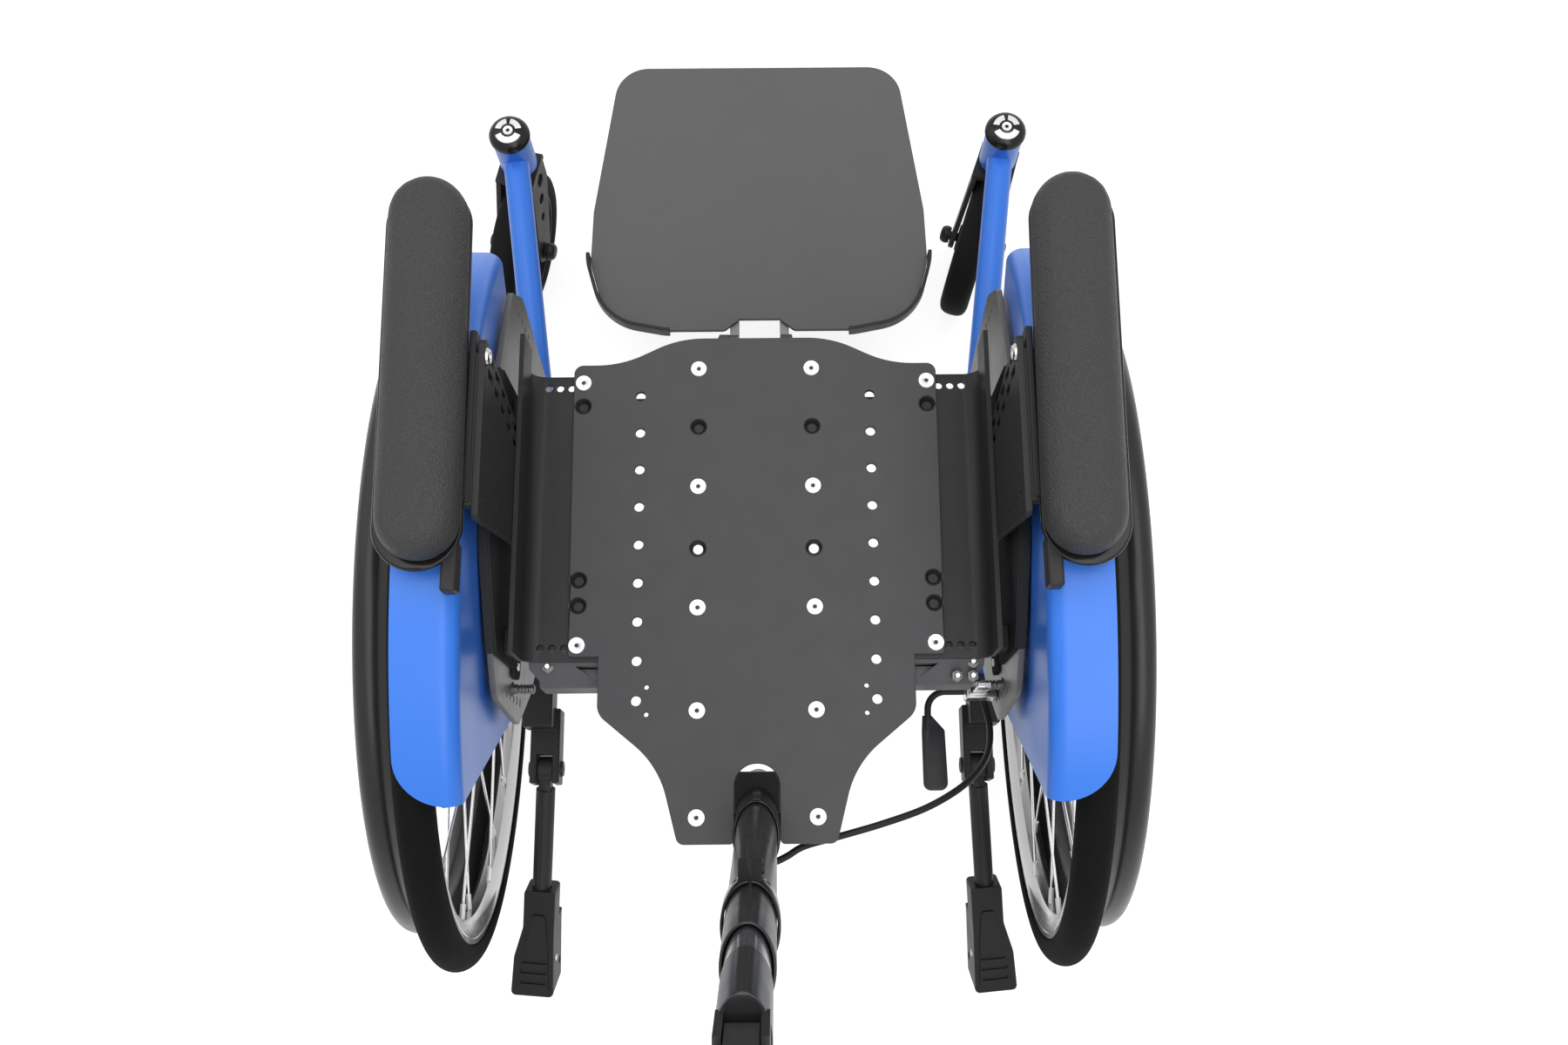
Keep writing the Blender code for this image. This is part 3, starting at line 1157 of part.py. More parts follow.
seat_plate()
cross_members()
under_frame()
footplate()
footplate_hanger()
push_post()
push_bar()
release_lever()
for side_label, side_sign in SIDES:
    seat_rail(side_label, side_sign)
    side_plate(side_label, side_sign)
    drive_wheel(side_label, side_sign)
    front_frame(side_label, side_sign)
    caster(side_label, side_sign)
    caster_cap(side_label, side_sign)
    armrest(side_label, side_sign)
    fender(side_label, side_sign)
    anti_tipper(side_label, side_sign)
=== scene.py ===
"""Looks of the pediatric manual wheelchair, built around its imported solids.

Everything is in metres in the frame of the solids: z = 0 is the floor, +X the chair's right,
+Y its front. Lengths repeat those of the solids, with finer rounds and more detail. Outlines,
profiles and blocks are typed in millimetres from a named spot.
"""

from math import acos, atan2, cos, pi, radians, sin, sqrt, tan

import bmesh
import bpy
from mathutils import Matrix, Quaternion, Vector


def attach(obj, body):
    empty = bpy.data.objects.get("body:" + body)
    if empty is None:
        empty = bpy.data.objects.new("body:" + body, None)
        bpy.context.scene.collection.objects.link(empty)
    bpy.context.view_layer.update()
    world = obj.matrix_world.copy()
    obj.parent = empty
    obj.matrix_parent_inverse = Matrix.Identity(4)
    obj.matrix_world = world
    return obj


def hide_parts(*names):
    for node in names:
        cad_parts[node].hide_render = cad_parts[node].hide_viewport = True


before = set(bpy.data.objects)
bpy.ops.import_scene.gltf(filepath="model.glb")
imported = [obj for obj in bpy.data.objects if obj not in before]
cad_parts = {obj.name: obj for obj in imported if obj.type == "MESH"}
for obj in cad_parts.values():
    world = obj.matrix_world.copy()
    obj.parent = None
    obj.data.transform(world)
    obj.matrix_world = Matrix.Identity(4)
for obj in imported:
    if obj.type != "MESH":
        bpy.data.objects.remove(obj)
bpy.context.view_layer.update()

SIDES = (("left", -1), ("right", 1))
GAP = 0.0003

# Seat plate and rails
SEAT_TOP = 0.405
PLATE_THICK = 0.004
ROW_Y = 0.013
HOLE_R = 0.0032
HOLE_PITCH = 0.025
SINK_R = 0.0054
RAIL_FRONT = ROW_Y + 0.0155
RAIL_REAR = ROW_Y - 0.1745
RAIL_EDGE_X = 0.097
RAIL_WALL_X = 0.1465
RAIL_THICK = 0.003
RAIL_TOP = SEAT_TOP - PLATE_THICK - GAP
SIDE_INNER_X = 0.1615
SIDE_THICK = 0.004
SIDE_OUTER_X = SIDE_INNER_X + SIDE_THICK

# Drive wheels
AXLE_Y = ROW_Y - 0.112
CAMBER = radians(3.1)
RIM_R = 0.236
TYRE_R = 0.254
TYRE_HALF = 0.012
WHEEL_X = 0.2095
AXLE_Z = TYRE_R * cos(CAMBER)
HANDRIM_R = 0.2278
HANDRIM_TUBE_R = 0.010
HANDRIM_AXIAL = 0.027
SPOKES = 24
SPOKE_LEAD = radians(52)
SPOKE_HUB_R = 0.0185
SPOKE_RIM_R = 0.2192

# Frame and casters
FRAME_Z = 0.168
FRAME_TUBE_R = 0.011
FRAME_X = SIDE_OUTER_X + GAP + FRAME_TUBE_R
PIVOT = (0.210, ROW_Y + 0.309)
HEAD_LOW = 0.152
HEAD_TOP = 0.200
CASTER_R = 0.070
CASTER_TRAIL = 0.040
CASTER_SWIVEL = {"left": radians(13), "right": radians(18)}
LEG_X = 0.0165
LEG_THICK = 0.0045

# Footplate
FOOT_TOP = 0.151
FOOT_THICK = 0.004
FOOT_REAR = ROW_Y + 0.151
HANGER_X = 0.0213

# Armrests and fenders
FENDER_R = 0.2645
FENDER_START = radians(37)
FENDER_STOP = radians(126)
BRACKET_TOP = AXLE_Z + FENDER_R + 0.0199
PAD_X = 0.1812
PAD_BASE_X = 0.1842
PAD_Y = ROW_Y - 0.032
PAD_TOE = radians(0.9)
PAD_HALF = 0.023
PAD_STRAIGHT = 0.112 - PAD_HALF

# Anti-tippers
TIP_X = 0.169
TIP_Y = ROW_Y - 0.218
TIP_Z = SEAT_TOP - 0.252
TIP_SLOPE = radians(27)
TIP_SPLAY = radians(5.0)

# Push post and release lever
POST_LEAN = radians(15)
POST_Y = ROW_Y - 0.275
POST_HALF = (0.012, 0.0195)
POST_WALL = 0.0016
BAR_HINGE = 0.382
BAR_REACH = 0.162
LEVER_Y = ROW_Y - 0.1805
LEVER_Z = SEAT_TOP - 0.085
CABLE_R = 0.0022
CABLE_ROUTE = (
    (4, -294.5, -26), (10, -297.2, -25.6), (18, -294, -25), (29, -288, -24), (52, -282, -22),
    (79, -274.5, -23), (106, -265, -27), (129, -252, -35), (144, -238, -48), (152, -224, -64),
    (155, -209, -77), (154, -196.5, -84), (152.5, -190.8, -85),
)


def node(tree, kind, source=None, **values):
    """Add a shader node, set its values and link its first input to a source."""
    made = tree.nodes.new("ShaderNode" + kind)
    for name, value in values.items():
        title = name.replace("_", " ").title()
        if title in made.inputs:
            made.inputs[title].default_value = value
        else:
            setattr(made, name, value)
    if source is not None:
        tree.links.new(source, made.inputs[0])
    return made


def noise(tree, where, scale, detail, output="Fac"):
    return node(tree, "TexNoise", where, scale=scale, detail=detail).outputs[output]


def maths(tree, operation, a, b):
    made = node(tree, "Math", operation=operation)
    for socket, value in zip(made.inputs, (a, b)):
        if isinstance(value, (int, float)):
            socket.default_value = value
        else:
            tree.links.new(value, socket)
    return made.outputs[0]


def leather_grain(tree, where):
    """Small rounded cells with fine creases between them, and a few soft larger folds."""
    wobble = noise(tree, where, 260.0, 2.0, "Color")
    shift = node(tree, "VectorMath", wobble, operation="SCALE", scale=0.0016)
    moved = node(tree, "VectorMath", where, operation="ADD")
    tree.links.new(shift.outputs[0], moved.inputs[1])
    cells = node(tree, "TexVoronoi", moved.outputs[0], feature="F1", scale=850.0)
    return maths(tree, "ADD", cells.outputs["Distance"], noise(tree, where, 240.0, 3.0))


def round_and_across(tree, where):
    """The turn round the piece's own Z axis in radians, and the height along it."""
    split = node(tree, "SeparateXYZ", where)
    return maths(tree, "ARCTAN2", split.outputs["Y"], split.outputs["X"]), split.outputs["Z"]


def tyre_tread(tree, where):
    """Fine slanted grooves on both shoulders of a tyre, crossing in the middle."""
    turn, across = round_and_across(tree, where)
    heights = []
    around = maths(tree, "MULTIPLY", turn, 420.0)
    for slant in (1500.0, -1500.0):
        path = maths(tree, "ADD", around, maths(tree, "MULTIPLY", across, slant))
        wave = node(tree, "Math", path, operation="SINE").outputs[0]
        heights.append(maths(tree, "MAXIMUM", wave, -0.2))
    return maths(tree, "MULTIPLY", *heights)


def brushed_round(tree, where):
    """Turning marks that run round the piece's axis."""
    turn, across = round_and_across(tree, where)
    streak = node(tree, "CombineXYZ", maths(tree, "MULTIPLY", turn, 0.02))
    tree.links.new(across, streak.inputs["Y"])
    return noise(tree, streak.outputs[0], 2200.0, 3.0)


def brushed_along(tree, where):
    """Long fine marks along Y, as on rolled and brushed sheet."""
    squeeze = node(tree, "Mapping", where, scale=(1.0, 0.03, 1.0))
    return noise(tree, squeeze.outputs[0], 2400.0, 3.0)


def finish(name, colour, roughness, metallic=0.0, tone=0.08, bump=0.10, specular=0.5, coat=0.0,
           tone_scale=14.0, rough_var=0.08, grain=2600.0, pattern=None, depth=0.0001):
    """A surface with slow tone changes, a relief of fine grain and a roughness that varies a little."""
    made = bpy.data.materials.new(name)
    made.use_nodes = True
    tree = made.node_tree
    link = tree.links.new
    shader = tree.nodes["Principled BSDF"]
    for key, value in (("Metallic", metallic), ("Specular IOR Level", specular), ("Coat Weight", coat),
                       ("Coat Roughness", 0.12)):
        shader.inputs[key].default_value = value
    where = node(tree, "TexCoord").outputs["Object"]
    mix = node(tree, "Mix", data_type="RGBA")
    for key, share in (("A", 1 - tone), ("B", 1 + tone)):
        mix.inputs[key].default_value = (*[c * share for c in colour], 1)
    link(noise(tree, where, tone_scale, 3.0), mix.inputs["Factor"])
    link(mix.outputs["Result"], shader.inputs["Base Color"])
    spread = node(tree, "MapRange", noise(tree, where, tone_scale * 4, 4.0),
                  to_min=roughness - rough_var, to_max=roughness + rough_var)
    link(spread.outputs["Result"], shader.inputs["Roughness"])
    relief = node(tree, "Bump", strength=bump, distance=depth)
    height = pattern(tree, where) if pattern else noise(tree, where, grain, 2.0)
    link(height, relief.inputs["Height"])
    link(relief.outputs["Normal"], shader.inputs["Normal"])
    return made


PLATE = finish("plate_grey_coat", (0.056, 0.056, 0.057), 0.60, tone=0.03, bump=0.12, specular=0.35)
FOOT = finish("footplate_coat", (0.111, 0.111, 0.112), 0.60, tone=0.04, bump=0.12, specular=0.35)
MEMBER = finish("member_coat", (0.098, 0.098, 0.099), 0.55, tone=0.05, bump=0.12, specular=0.35)
BLACK = finish("black_satin_coat", (0.022, 0.022, 0.023), 0.45, specular=0.22)
POST = finish("post_black_anodised", (0.012, 0.012, 0.013), 0.30, bump=0.06, specular=0.42)
BAND = finish("post_band", (0.040, 0.040, 0.046), 0.24, tone=0.04, bump=0.02, specular=1.0, coat=0.6)
SILVER = finish("silver_sheet", (0.145, 0.141, 0.136), 0.44, 0.75, 0.05, 0.12, pattern=brushed_along)
STRAP = finish("hanger_zinc", (0.20, 0.20, 0.20), 0.45, 0.3, 0.05, specular=0.35)
RIM = finish("rim_alloy", (0.46, 0.46, 0.455), 0.20, 0.95, 0.03, 0.02, pattern=brushed_round)
SPOKE = finish("spoke_steel", (0.72, 0.72, 0.72), 0.20, 1.0, 0.04, 0.04)
CHROME = finish("chrome_steel", (0.50, 0.49, 0.48), 0.20, 1.0, 0.05, 0.03)
SCREW = finish("screw_zinc", (0.80, 0.80, 0.80), 0.36, 0.45, 0.03, 0.05)
BLUE = finish("blue_paint", (0.042, 0.205, 0.80), 0.34, tone=0.03, bump=0.05, specular=0.35,
              tone_scale=6.0, rough_var=0.05)
PLASTIC = finish("black_moulded", (0.017, 0.017, 0.018), 0.45, tone=0.10, bump=0.22, specular=0.16,
                 grain=1900.0)
GLOSS = finish("black_gloss", (0.012, 0.012, 0.012), 0.16, tone=0.05, bump=0.03, specular=0.25)
HANDRIM = finish("handrim_black", (0.019, 0.019, 0.020), 0.32, bump=0.08, specular=0.28)
RUBBER = finish("black_rubber", (0.015, 0.015, 0.015), 0.70, bump=0.25, specular=0.06)
# Black matt: the painted shadow on the side plates, and their tabs.
MATT = finish("black_matt_shade_and_tab", (0.042, 0.042, 0.043), 0.85, bump=0.15, specular=0.02)
TYRE = finish("tyre_rubber", (0.010, 0.010, 0.010), 0.75, bump=0.7, specular=0.03,
              pattern=tyre_tread, depth=0.0006)
VINYL = finish("pad_vinyl", (0.057, 0.057, 0.058), 0.45, bump=1.0, specular=0.14,
               pattern=leather_grain, depth=0.0006)


def mm(rows, x=0.0, y=0.0, side=1):
    """Rows (x, y) or (x, y, radius) in millimetres from a spot, in metres and mirrored for the left side."""
    return [(side * (x + row[0] / 1000), y + row[1] / 1000, *[n / 1000 for n in row[2:]]) for row in rows]


def at(x, y, z):
    return Matrix.Translation((x, y, z))


def turn_by(angle, axis):
    return Matrix.Rotation(angle, 4, axis)


def upright(x):
    """Frame of a plate that stands along the chair at x: its outline is in (y, z)."""
    return Matrix(((0, 0, 1, x), (1, 0, 0, 0), (0, 1, 0, 0), (0, 0, 0, 1)))


def level(z):
    """Frame of a plate that lies flat at height z: its outline is in (x, y)."""
    return at(0, 0, z)


def facing(point, direction):
    """A frame at a point whose Z axis looks along a direction."""
    return at(*point) @ Vector(direction).to_track_quat("Z", "Y").to_matrix().to_4x4()


def polar(radius, turn, centre=(0.0, 0.0), stretch=1.0):
    return centre[0] + radius * cos(turn), centre[1] + radius * stretch * sin(turn)


def circle(radius, sides=32, centre=(0.0, 0.0), stretch=1.0):
    return [polar(radius, 2 * pi * (k + 0.5) / sides, centre, stretch) for k in range(sides)]


def arc(centre, radius, start, end, steps):
    return [polar(radius, start + (end - start) * k / steps, centre) for k in range(steps + 1)]


def stadium(half, straight, steps):
    """An outline of two half circles joined by straights along Y."""
    return arc((0, straight), half, 0, pi, steps) + arc((0, -straight), half, pi, 2 * pi, steps)


def rounded(corners, steps=12):
    """An outline through corners (x, y, radius), each with a round of its radius."""
    points = []
    for i, (x, y, radius) in enumerate(corners):
        here = Vector((x, y))
        if radius == 0:
            points.append((x, y))
            continue
        before = (Vector(corners[i - 1][:2]) - here).normalized()
        after = (Vector(corners[(i + 1) % len(corners)][:2]) - here).normalized()
        half = before.angle(after) / 2
        centre = here + (before + after).normalized() * (radius / sin(half))
        first = here + before * (radius / tan(half)) - centre
        last = here + after * (radius / tan(half)) - centre
        start = atan2(first.y, first.x)
        turn = (atan2(last.y, last.x) - start + pi) % (2 * pi) - pi
        points += arc(centre, radius, start, start + turn, steps)
    return points


def mirrored(right):
    """The corners of a right half and their mirror images, those on the axis once."""
    return right + [(-x, y, radius) for x, y, radius in reversed(right) if x]


def both_ways(half):
    """A profile and its mirror image across zero height."""
    return half + [(radius, -height) for radius, height in reversed(half) if height]


def bend(points, steps):
    """A path through (x, y, z, radius) points, with its inner corners rounded."""
    spots = [Vector(point[:3]) for point in points]
    path = [spots[0]]
    for here, last_spot, next_spot, point in zip(spots[1:], spots, spots[2:], points[1:]):
        before = (last_spot - here).normalized()
        after = (next_spot - here).normalized()
        half = before.angle(after) / 2
        reach = point[3] / tan(half)
        centre = here + (before + after).normalized() * (point[3] / sin(half))
        first = here + before * reach - centre
        turn = first.rotation_difference(here + after * reach - centre)
        path += [centre + Quaternion(turn.axis, turn.angle * k / steps) @ first for k in range(steps + 1)]
    return path + [spots[-1]]


def offset_path(points, distance):
    """The open path moved sideways to its left by a distance."""
    moved = []
    for i, (x, y) in enumerate(points):
        along = (Vector(points[min(i + 1, len(points) - 1)]) - Vector(points[max(i - 1, 0)])).normalized()
        moved.append((x - along.y * distance, y + along.x * distance))
    return moved


def ribbon(line, left, right):
    """The outline of a strip between two distances from a line."""
    return offset_path(line, left) + list(reversed(offset_path(line, right)))


def baked(obj):
    return bpy.data.meshes.new_from_object(obj.evaluated_get(bpy.context.evaluated_depsgraph_get()))


def smooth_shade(mesh, angle=38.0):
    mesh.shade_smooth()
    mesh.set_sharp_from_angle(angle=radians(angle))


def from_bmesh(name, bm, matrix=Matrix(), material=None, angle=38.0):
    mesh = bpy.data.meshes.new(name)
    bmesh.ops.recalc_face_normals(bm, faces=bm.faces)
    bm.to_mesh(mesh)
    bm.free()
    smooth_shade(mesh, angle)
    obj = bpy.data.objects.new(name, mesh)
    obj.matrix_world = matrix
    bpy.context.scene.collection.objects.link(obj)
    if material is not None:
        mesh.materials.append(material)
    return obj


def weigh_normals(obj):
    even = obj.modifiers.new("Even", "WEIGHTED_NORMAL")
    even.keep_sharp = True
    return obj


def soften(obj, width):
    """Round the hard edges of a piece and keep its flat faces flat."""
    edge = obj.modifiers.new("Edge", "BEVEL")
    edge.width = width
    edge.segments = 2
    edge.limit_method = "ANGLE"
    edge.angle_limit = radians(40)
    edge.use_clamp_overlap = True
    obj.data.shade_smooth()
    return weigh_normals(obj)


def bridge(bm, rows, ring=True):
    """Faces between neighbouring rows of vertices, which are rings or open."""
    for lower, upper in zip(rows, rows[1:]):
        for k in range(len(lower) if ring else len(lower) - 1):
            n = (k + 1) % len(lower)
            corners = dict.fromkeys((lower[k], lower[n], upper[n], upper[k]))
            if len(corners) > 2:
                bm.faces.new(list(corners))


def box(name, spans, material=None, origin=(0, 0, 0), side=1, matrix=Matrix(), edge=0.0006):
    """A block from x, x, y, y, z, z in millimetres from an origin, mirrored for the left side."""
    low, high = [Vector([origin[k] + spans[2 * k + end] / 1000 for k in range(3)]) for end in (0, 1)]
    low.x, high.x = sorted((side * low.x, side * high.x))
    bm = bmesh.new()
    bmesh.ops.create_cube(bm, size=1.0, matrix=at(*(high + low) / 2) @ Matrix.Diagonal((*(high - low), 1.0)))
    obj = from_bmesh(name, bm, matrix, material)
    return soften(obj, edge) if edge and material is not None else obj


def add_rod(bm, start, end, radius, sides, end_radius=None):
    start = Vector(start)
    along = Vector(end) - start
    bmesh.ops.create_cone(bm, cap_ends=True, segments=sides, radius1=radius, radius2=end_radius or radius,
                          depth=along.length, matrix=facing(start + along / 2, along))


def rod(name, start, end, radius, material=None, sides=40, matrix=Matrix()):
    bm = bmesh.new()
    add_rod(bm, start, end, radius, sides)
    return from_bmesh(name, bm, matrix, material)


def turned(name, profile, matrix, material, steps=96, closed=False, angle=38.0):
    """Turn a profile of (radius, height) points about the local Z axis."""
    bm = bmesh.new()
    rings = []
    for radius, height in profile:
        if radius < 1e-7:
            rings.append([bm.verts.new((0, 0, height))] * steps)
        else:
            rings.append([bm.verts.new((*polar(radius, 2 * pi * k / steps), height)) for k in range(steps)])
    bridge(bm, rings + rings[:1] if closed else rings)
    return from_bmesh(name, bm, matrix, material, angle)


def from_curve(name, dimensions, loops, matrix, material, angle, **settings):
    curve = bpy.data.curves.new(name, "CURVE")
    curve.dimensions = dimensions
    for key, value in settings.items():
        setattr(curve, key, value)
    for loop in loops:
        spline = curve.splines.new("POLY")
        spline.points.add(len(loop) - 1)
        for point, place in zip(spline.points, loop):
            point.co = (*Vector(place).to_3d(), 1.0)
        spline.use_cyclic_u = dimensions == "2D"
    obj = bpy.data.objects.new(name, curve)
    obj.matrix_world = matrix
    bpy.context.scene.collection.objects.link(obj)
    mesh = baked(obj)
    bpy.data.objects.remove(obj, do_unlink=True)
    bm = bmesh.new()
    bm.from_mesh(mesh)
    bmesh.ops.remove_doubles(bm, verts=bm.verts, dist=0.00001)
    bpy.data.meshes.remove(mesh)
    return from_bmesh(name, bm, matrix, material, angle)


def flat(name, outline, thickness, matrix, material=None, holes=(), edge=0.0005):
    """A plate from a 2D outline with holes, centred on its thickness, with rounded edges."""
    return weigh_normals(from_curve(
        name, "2D", (outline, *holes), matrix, material, 60.0, fill_mode="BOTH", extrude=thickness / 2 - edge,
        bevel_depth=edge, bevel_resolution=1, offset=-edge,
    ))


def tube(name, points, radius, material, resolution=8):
    return from_curve(name, "3D", (points,), Matrix(), material, 50.0, bevel_depth=radius,
                      bevel_resolution=resolution, use_fill_caps=True)


def combine(obj, operation, others, edge):
    """Join or cut a piece with others, which are used up, and round the new edges."""
    obj.modifiers.clear()
    for other in others:
        other.modifiers.clear()
        change = obj.modifiers.new("Combine", "BOOLEAN")
        change.operation = operation
        change.solver = "EXACT"
        change.object = other
    mesh = baked(obj)
    obj.modifiers.clear()
    obj.data = mesh
    for other in others:
        bpy.data.objects.remove(other, do_unlink=True)
    smooth_shade(mesh)
    return soften(obj, edge) if edge else obj


def join(obj, *others, edge=0.0):
    return combine(obj, "UNION", others, edge)


def cut(obj, *others, edge=0.0):
    return combine(obj, "DIFFERENCE", others, edge)


def put(obj, body, slot, *nodes):
    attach(obj, body)
    if nodes:
        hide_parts(*nodes)
    return obj


def screw_head(bm, place, radius, height, socket_r, socket_depth, sides=28):
    """Add a round head with a hex socket to a bmesh: its top is at local height, its foot at zero."""
    turns = [2 * pi * k / sides for k in range(sides)]
    hexagon = [socket_r * cos(pi / 6) / cos((turn + pi / 6) % (pi / 3) - pi / 6) for turn in turns]
    rows = [([reach] * sides, z) for reach, z in (
        (radius, 0), (radius, height * 0.6), (radius - height * 0.25, height), (socket_r * 1.16, height),
    )]
    rows += [(hexagon, height - 0.0002), (hexagon, height - socket_depth)]
    loops = [[bm.verts.new(place @ Vector((*polar(r, turn), z))) for r, turn in zip(row, turns)]
             for row, z in rows]
    bridge(bm, loops)
    bm.faces.new(list(reversed(loops[0])))
    bm.faces.new(loops[-1])


def screws(name, places, sizes, material, body, slot):
    """Screws at some frames: sizes are head radius, height, socket radius and depth in millimetres."""
    bm = bmesh.new()
    for place in places:
        screw_head(bm, place, *[size / 1000 for size in sizes])
    return put(from_bmesh(name, bm, Matrix(), material), body, slot)


def seat():
    outline = mirrored(mm((
        (50, 40.5, 70), (88, 22, 70), (119, 22, 6), (118, -172, 2), (99, -172, 0), (99, -208, 12),
        (60.5, -240, 60), (48.5, -287.5, 5), (14, -287.5, 3), (14, -239, 13.86),
    ), 0, ROW_Y))
    holes, sinks, heads = [], [], []
    for side in (-1, 1):
        holes += [circle(HOLE_R, 32, (side * 0.075, ROW_Y - row * HOLE_PITCH)) for row in range(9)]
        sinks += mm(((37, -21.3), (37, -103), (112.5, -6.5), (112.5, -123), (112.5, -139.5)), 0, ROW_Y, side)
        heads += mm(((37, 18.6), (37, -62), (37, -141.5), (37, -206.5), (37, -271.6), (112.5, 9.3),
                     (112.5, -165)), 0, ROW_Y, side)
        holes += [circle(0.0015, 20, spot) for spot in mm(((68.5, -191.5), (68.5, -208.5)), 0, ROW_Y, side)]
    holes += [circle(SINK_R, 36, place) for place in sinks]
    plate = flat("seat_plate_skin", rounded(outline, 16), PLATE_THICK, level(SEAT_TOP - PLATE_THICK / 2),
                 PLATE, holes)
    put(plate, "chassis", "plate_grey", "seat_plate")
    # The countersink funnels are black, not the plate's grey: painted shade in the recesses.
    low, top = SEAT_TOP - PLATE_THICK + 0.0002, SEAT_TOP - 0.0003
    funnel = [(HOLE_R, low), (HOLE_R, low + 0.0008), (SINK_R - 0.0003, top), (SINK_R - 0.00005, top),
              (SINK_R - 0.00005, low)]
    for i, (x, y) in enumerate(sinks):
        ring = turned(f"seat_countersink_{i + 1}", funnel, at(x, y, 0), BLACK, 36, closed=True)
        put(ring, "chassis", "plate_grey")
    places = [at(x, y, SEAT_TOP) for x, y in heads]
    screws("seat_screws", places, (5.25, 1.1, 1.5, 1), SCREW, "chassis", "chrome")
    # Black discs set inside the screw sockets: painted shade in the hex recesses.
    bm = bmesh.new()
    for x, y in heads:
        add_rod(bm, (x, y, SEAT_TOP + 0.0003), (x, y, SEAT_TOP + 0.0006), 0.00142, 24)
    put(from_bmesh("seat_screw_socket_shade", bm, Matrix(), GLOSS), "chassis", "black_metal")


def seat_rail(label, side):
    low = RAIL_TOP - RAIL_THICK
    outer = RAIL_WALL_X + RAIL_THICK
    wall_top = SEAT_TOP + 0.032
    edge = side * RAIL_EDGE_X
    section = rounded([
        (edge, low, 0), (side * outer, low, 0.013), (side * outer, wall_top, 0),
        (side * RAIL_WALL_X, wall_top, 0), (side * RAIL_WALL_X, RAIL_TOP, 0.010), (edge, RAIL_TOP, 0),
    ])
    across = Matrix(((1, 0, 0, 0), (0, 0, 1, (RAIL_FRONT + RAIL_REAR) / 2), (0, 1, 0, 0), (0, 0, 0, 1)))
    rail = flat("seat_rail_skin_" + label, section, RAIL_FRONT - RAIL_REAR, across, BLACK, edge=0.0004)
    join(rail, box("nose", (0, 3, -4, 16, 4, 32), None, (RAIL_WALL_X, RAIL_FRONT, SEAT_TOP), side))
    bm = bmesh.new()
    for dy in (0.0075, -0.166):
        for x in (0.121, 0.1285, 0.136):
            y = ROW_Y + dy
            add_rod(bm, (side * x, y, low - 0.002), (side * x, y, RAIL_TOP + 0.002), 0.0025, 24)
    cut(rail, from_bmesh("holes", bm))
    put(rail, "chassis", "black_metal", "seat_rail_" + label)


def cross_members():
    top = RAIL_TOP - RAIL_THICK - GAP
    reach = SIDE_INNER_X - GAP
    spot = (0, RAIL_REAR, top)
    spans = (-reach * 1000, reach * 1000, 6.5, 22.5, -14, 0)
    # The bar is coloured black, not the member's grey: painted shade seen through the rail holes above it.
    bar = box("rear_cross_member_skin", spans, BLACK, spot, edge=0.0012)
    put(bar, "chassis", "footplate_grey", "rear_cross_member")
    section = rounded(mm((
        (8, 0, 0), (0, 0, 5), (-14, -14, 5), (-14, -38, 0), (-11, -38, 0), (-11, -15.5, 2), (8, -3, 0),
    ), RAIL_REAR, top), 8)
    opening = ((80, -2), (114.5, -2), (101.5, -11), (80, -11))
    corner_cut = ((147.6, -3.5), (143.6, -3.5), (138, -10), (138, -18), (147.6, -18))
    for label, side in SIDES:
        end = flat("rear_member_end_" + label, section, 0.0451, upright(side * 0.12105), MEMBER)
        window = flat("window", mm(opening, 0, RAIL_REAR, side), 0.020, level(top), edge=0.0)
        corner = flat("corner", mm(corner_cut, 0, RAIL_REAR, side), 0.120, level(top), edge=0.0)
        put(cut(end, window, corner, edge=0.0004), "chassis", "footplate_grey")
        # A dark sheet just under each window: painted shade inside the member, seen through the window.
        behind = box("rear_member_window_shade_" + label, (78.5, 118, -10.6, -0.5, -20, -17.2), RUBBER, spot, side)
        put(behind, "chassis", "black_metal")
        hem = box("rear_member_hem_" + label, (102, 137.5, -14.2, -12.8, -38.2, -36.2), SILVER, spot, side,
                  edge=0.0008)
        put(hem, "chassis", "silver_alloy")
    nuts = ((-131.9, -163.5, 4.6), (136.7, -162.6, 4.6), (126.4, -171.6, 4), (136.3, -171.6, 4))
    for i, (x, y, radius) in enumerate(mm(nuts)):
        place = at(x, y, top + 0.0002 - (0 if y > RAIL_REAR else 0.006))
        middle = place @ level(0.0018)
        nut = flat(f"member_nut_{i + 1}", circle(radius, 6), 0.004, middle, SILVER, edge=0.0006)
        put(nut, "chassis", "chrome")
        tip = mm(((0, 5.8), (1.4, 5.8), (2, 5.2), (2, 0)))
        put(turned(f"member_bolt_{i + 1}", tip, place, CHROME, 32), "chassis", "chrome")
    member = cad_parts["front_cross_member"]
    member.data.materials.clear()
    member.data.materials.append(BLACK)
    soften(member, 0.0008)
    near, far = ROW_Y + 0.0068, ROW_Y - 0.088
    tubes = rod("under_frame_skin", (-reach, near, FRAME_Z), (reach, near, FRAME_Z), 0.010, BLUE)
    back = rod("back", (-reach, far, FRAME_Z), (reach, far, FRAME_Z), 0.010)
    spine = rod("spine", (0, near, FRAME_Z), (0, far, FRAME_Z), 0.008)
    put(join(tubes, back, spine), "chassis", "blue_paint", "under_frame")


def camber_frame(side):
    return at(side * WHEEL_X, AXLE_Y, AXLE_Z) @ turn_by(side * -CAMBER, "Y")


def wheel_frame(side):
    """A frame at the wheel's centre, its Z axis outward along the axle and its Y axis up."""
    outward = Vector((side * cos(CAMBER), 0, sin(CAMBER)))
    up = Vector((-side * sin(CAMBER), 0, cos(CAMBER)))
    turn = Matrix((up.cross(outward), up, outward)).transposed()
    return at(side * WHEEL_X, AXLE_Y, AXLE_Z) @ turn.to_4x4()


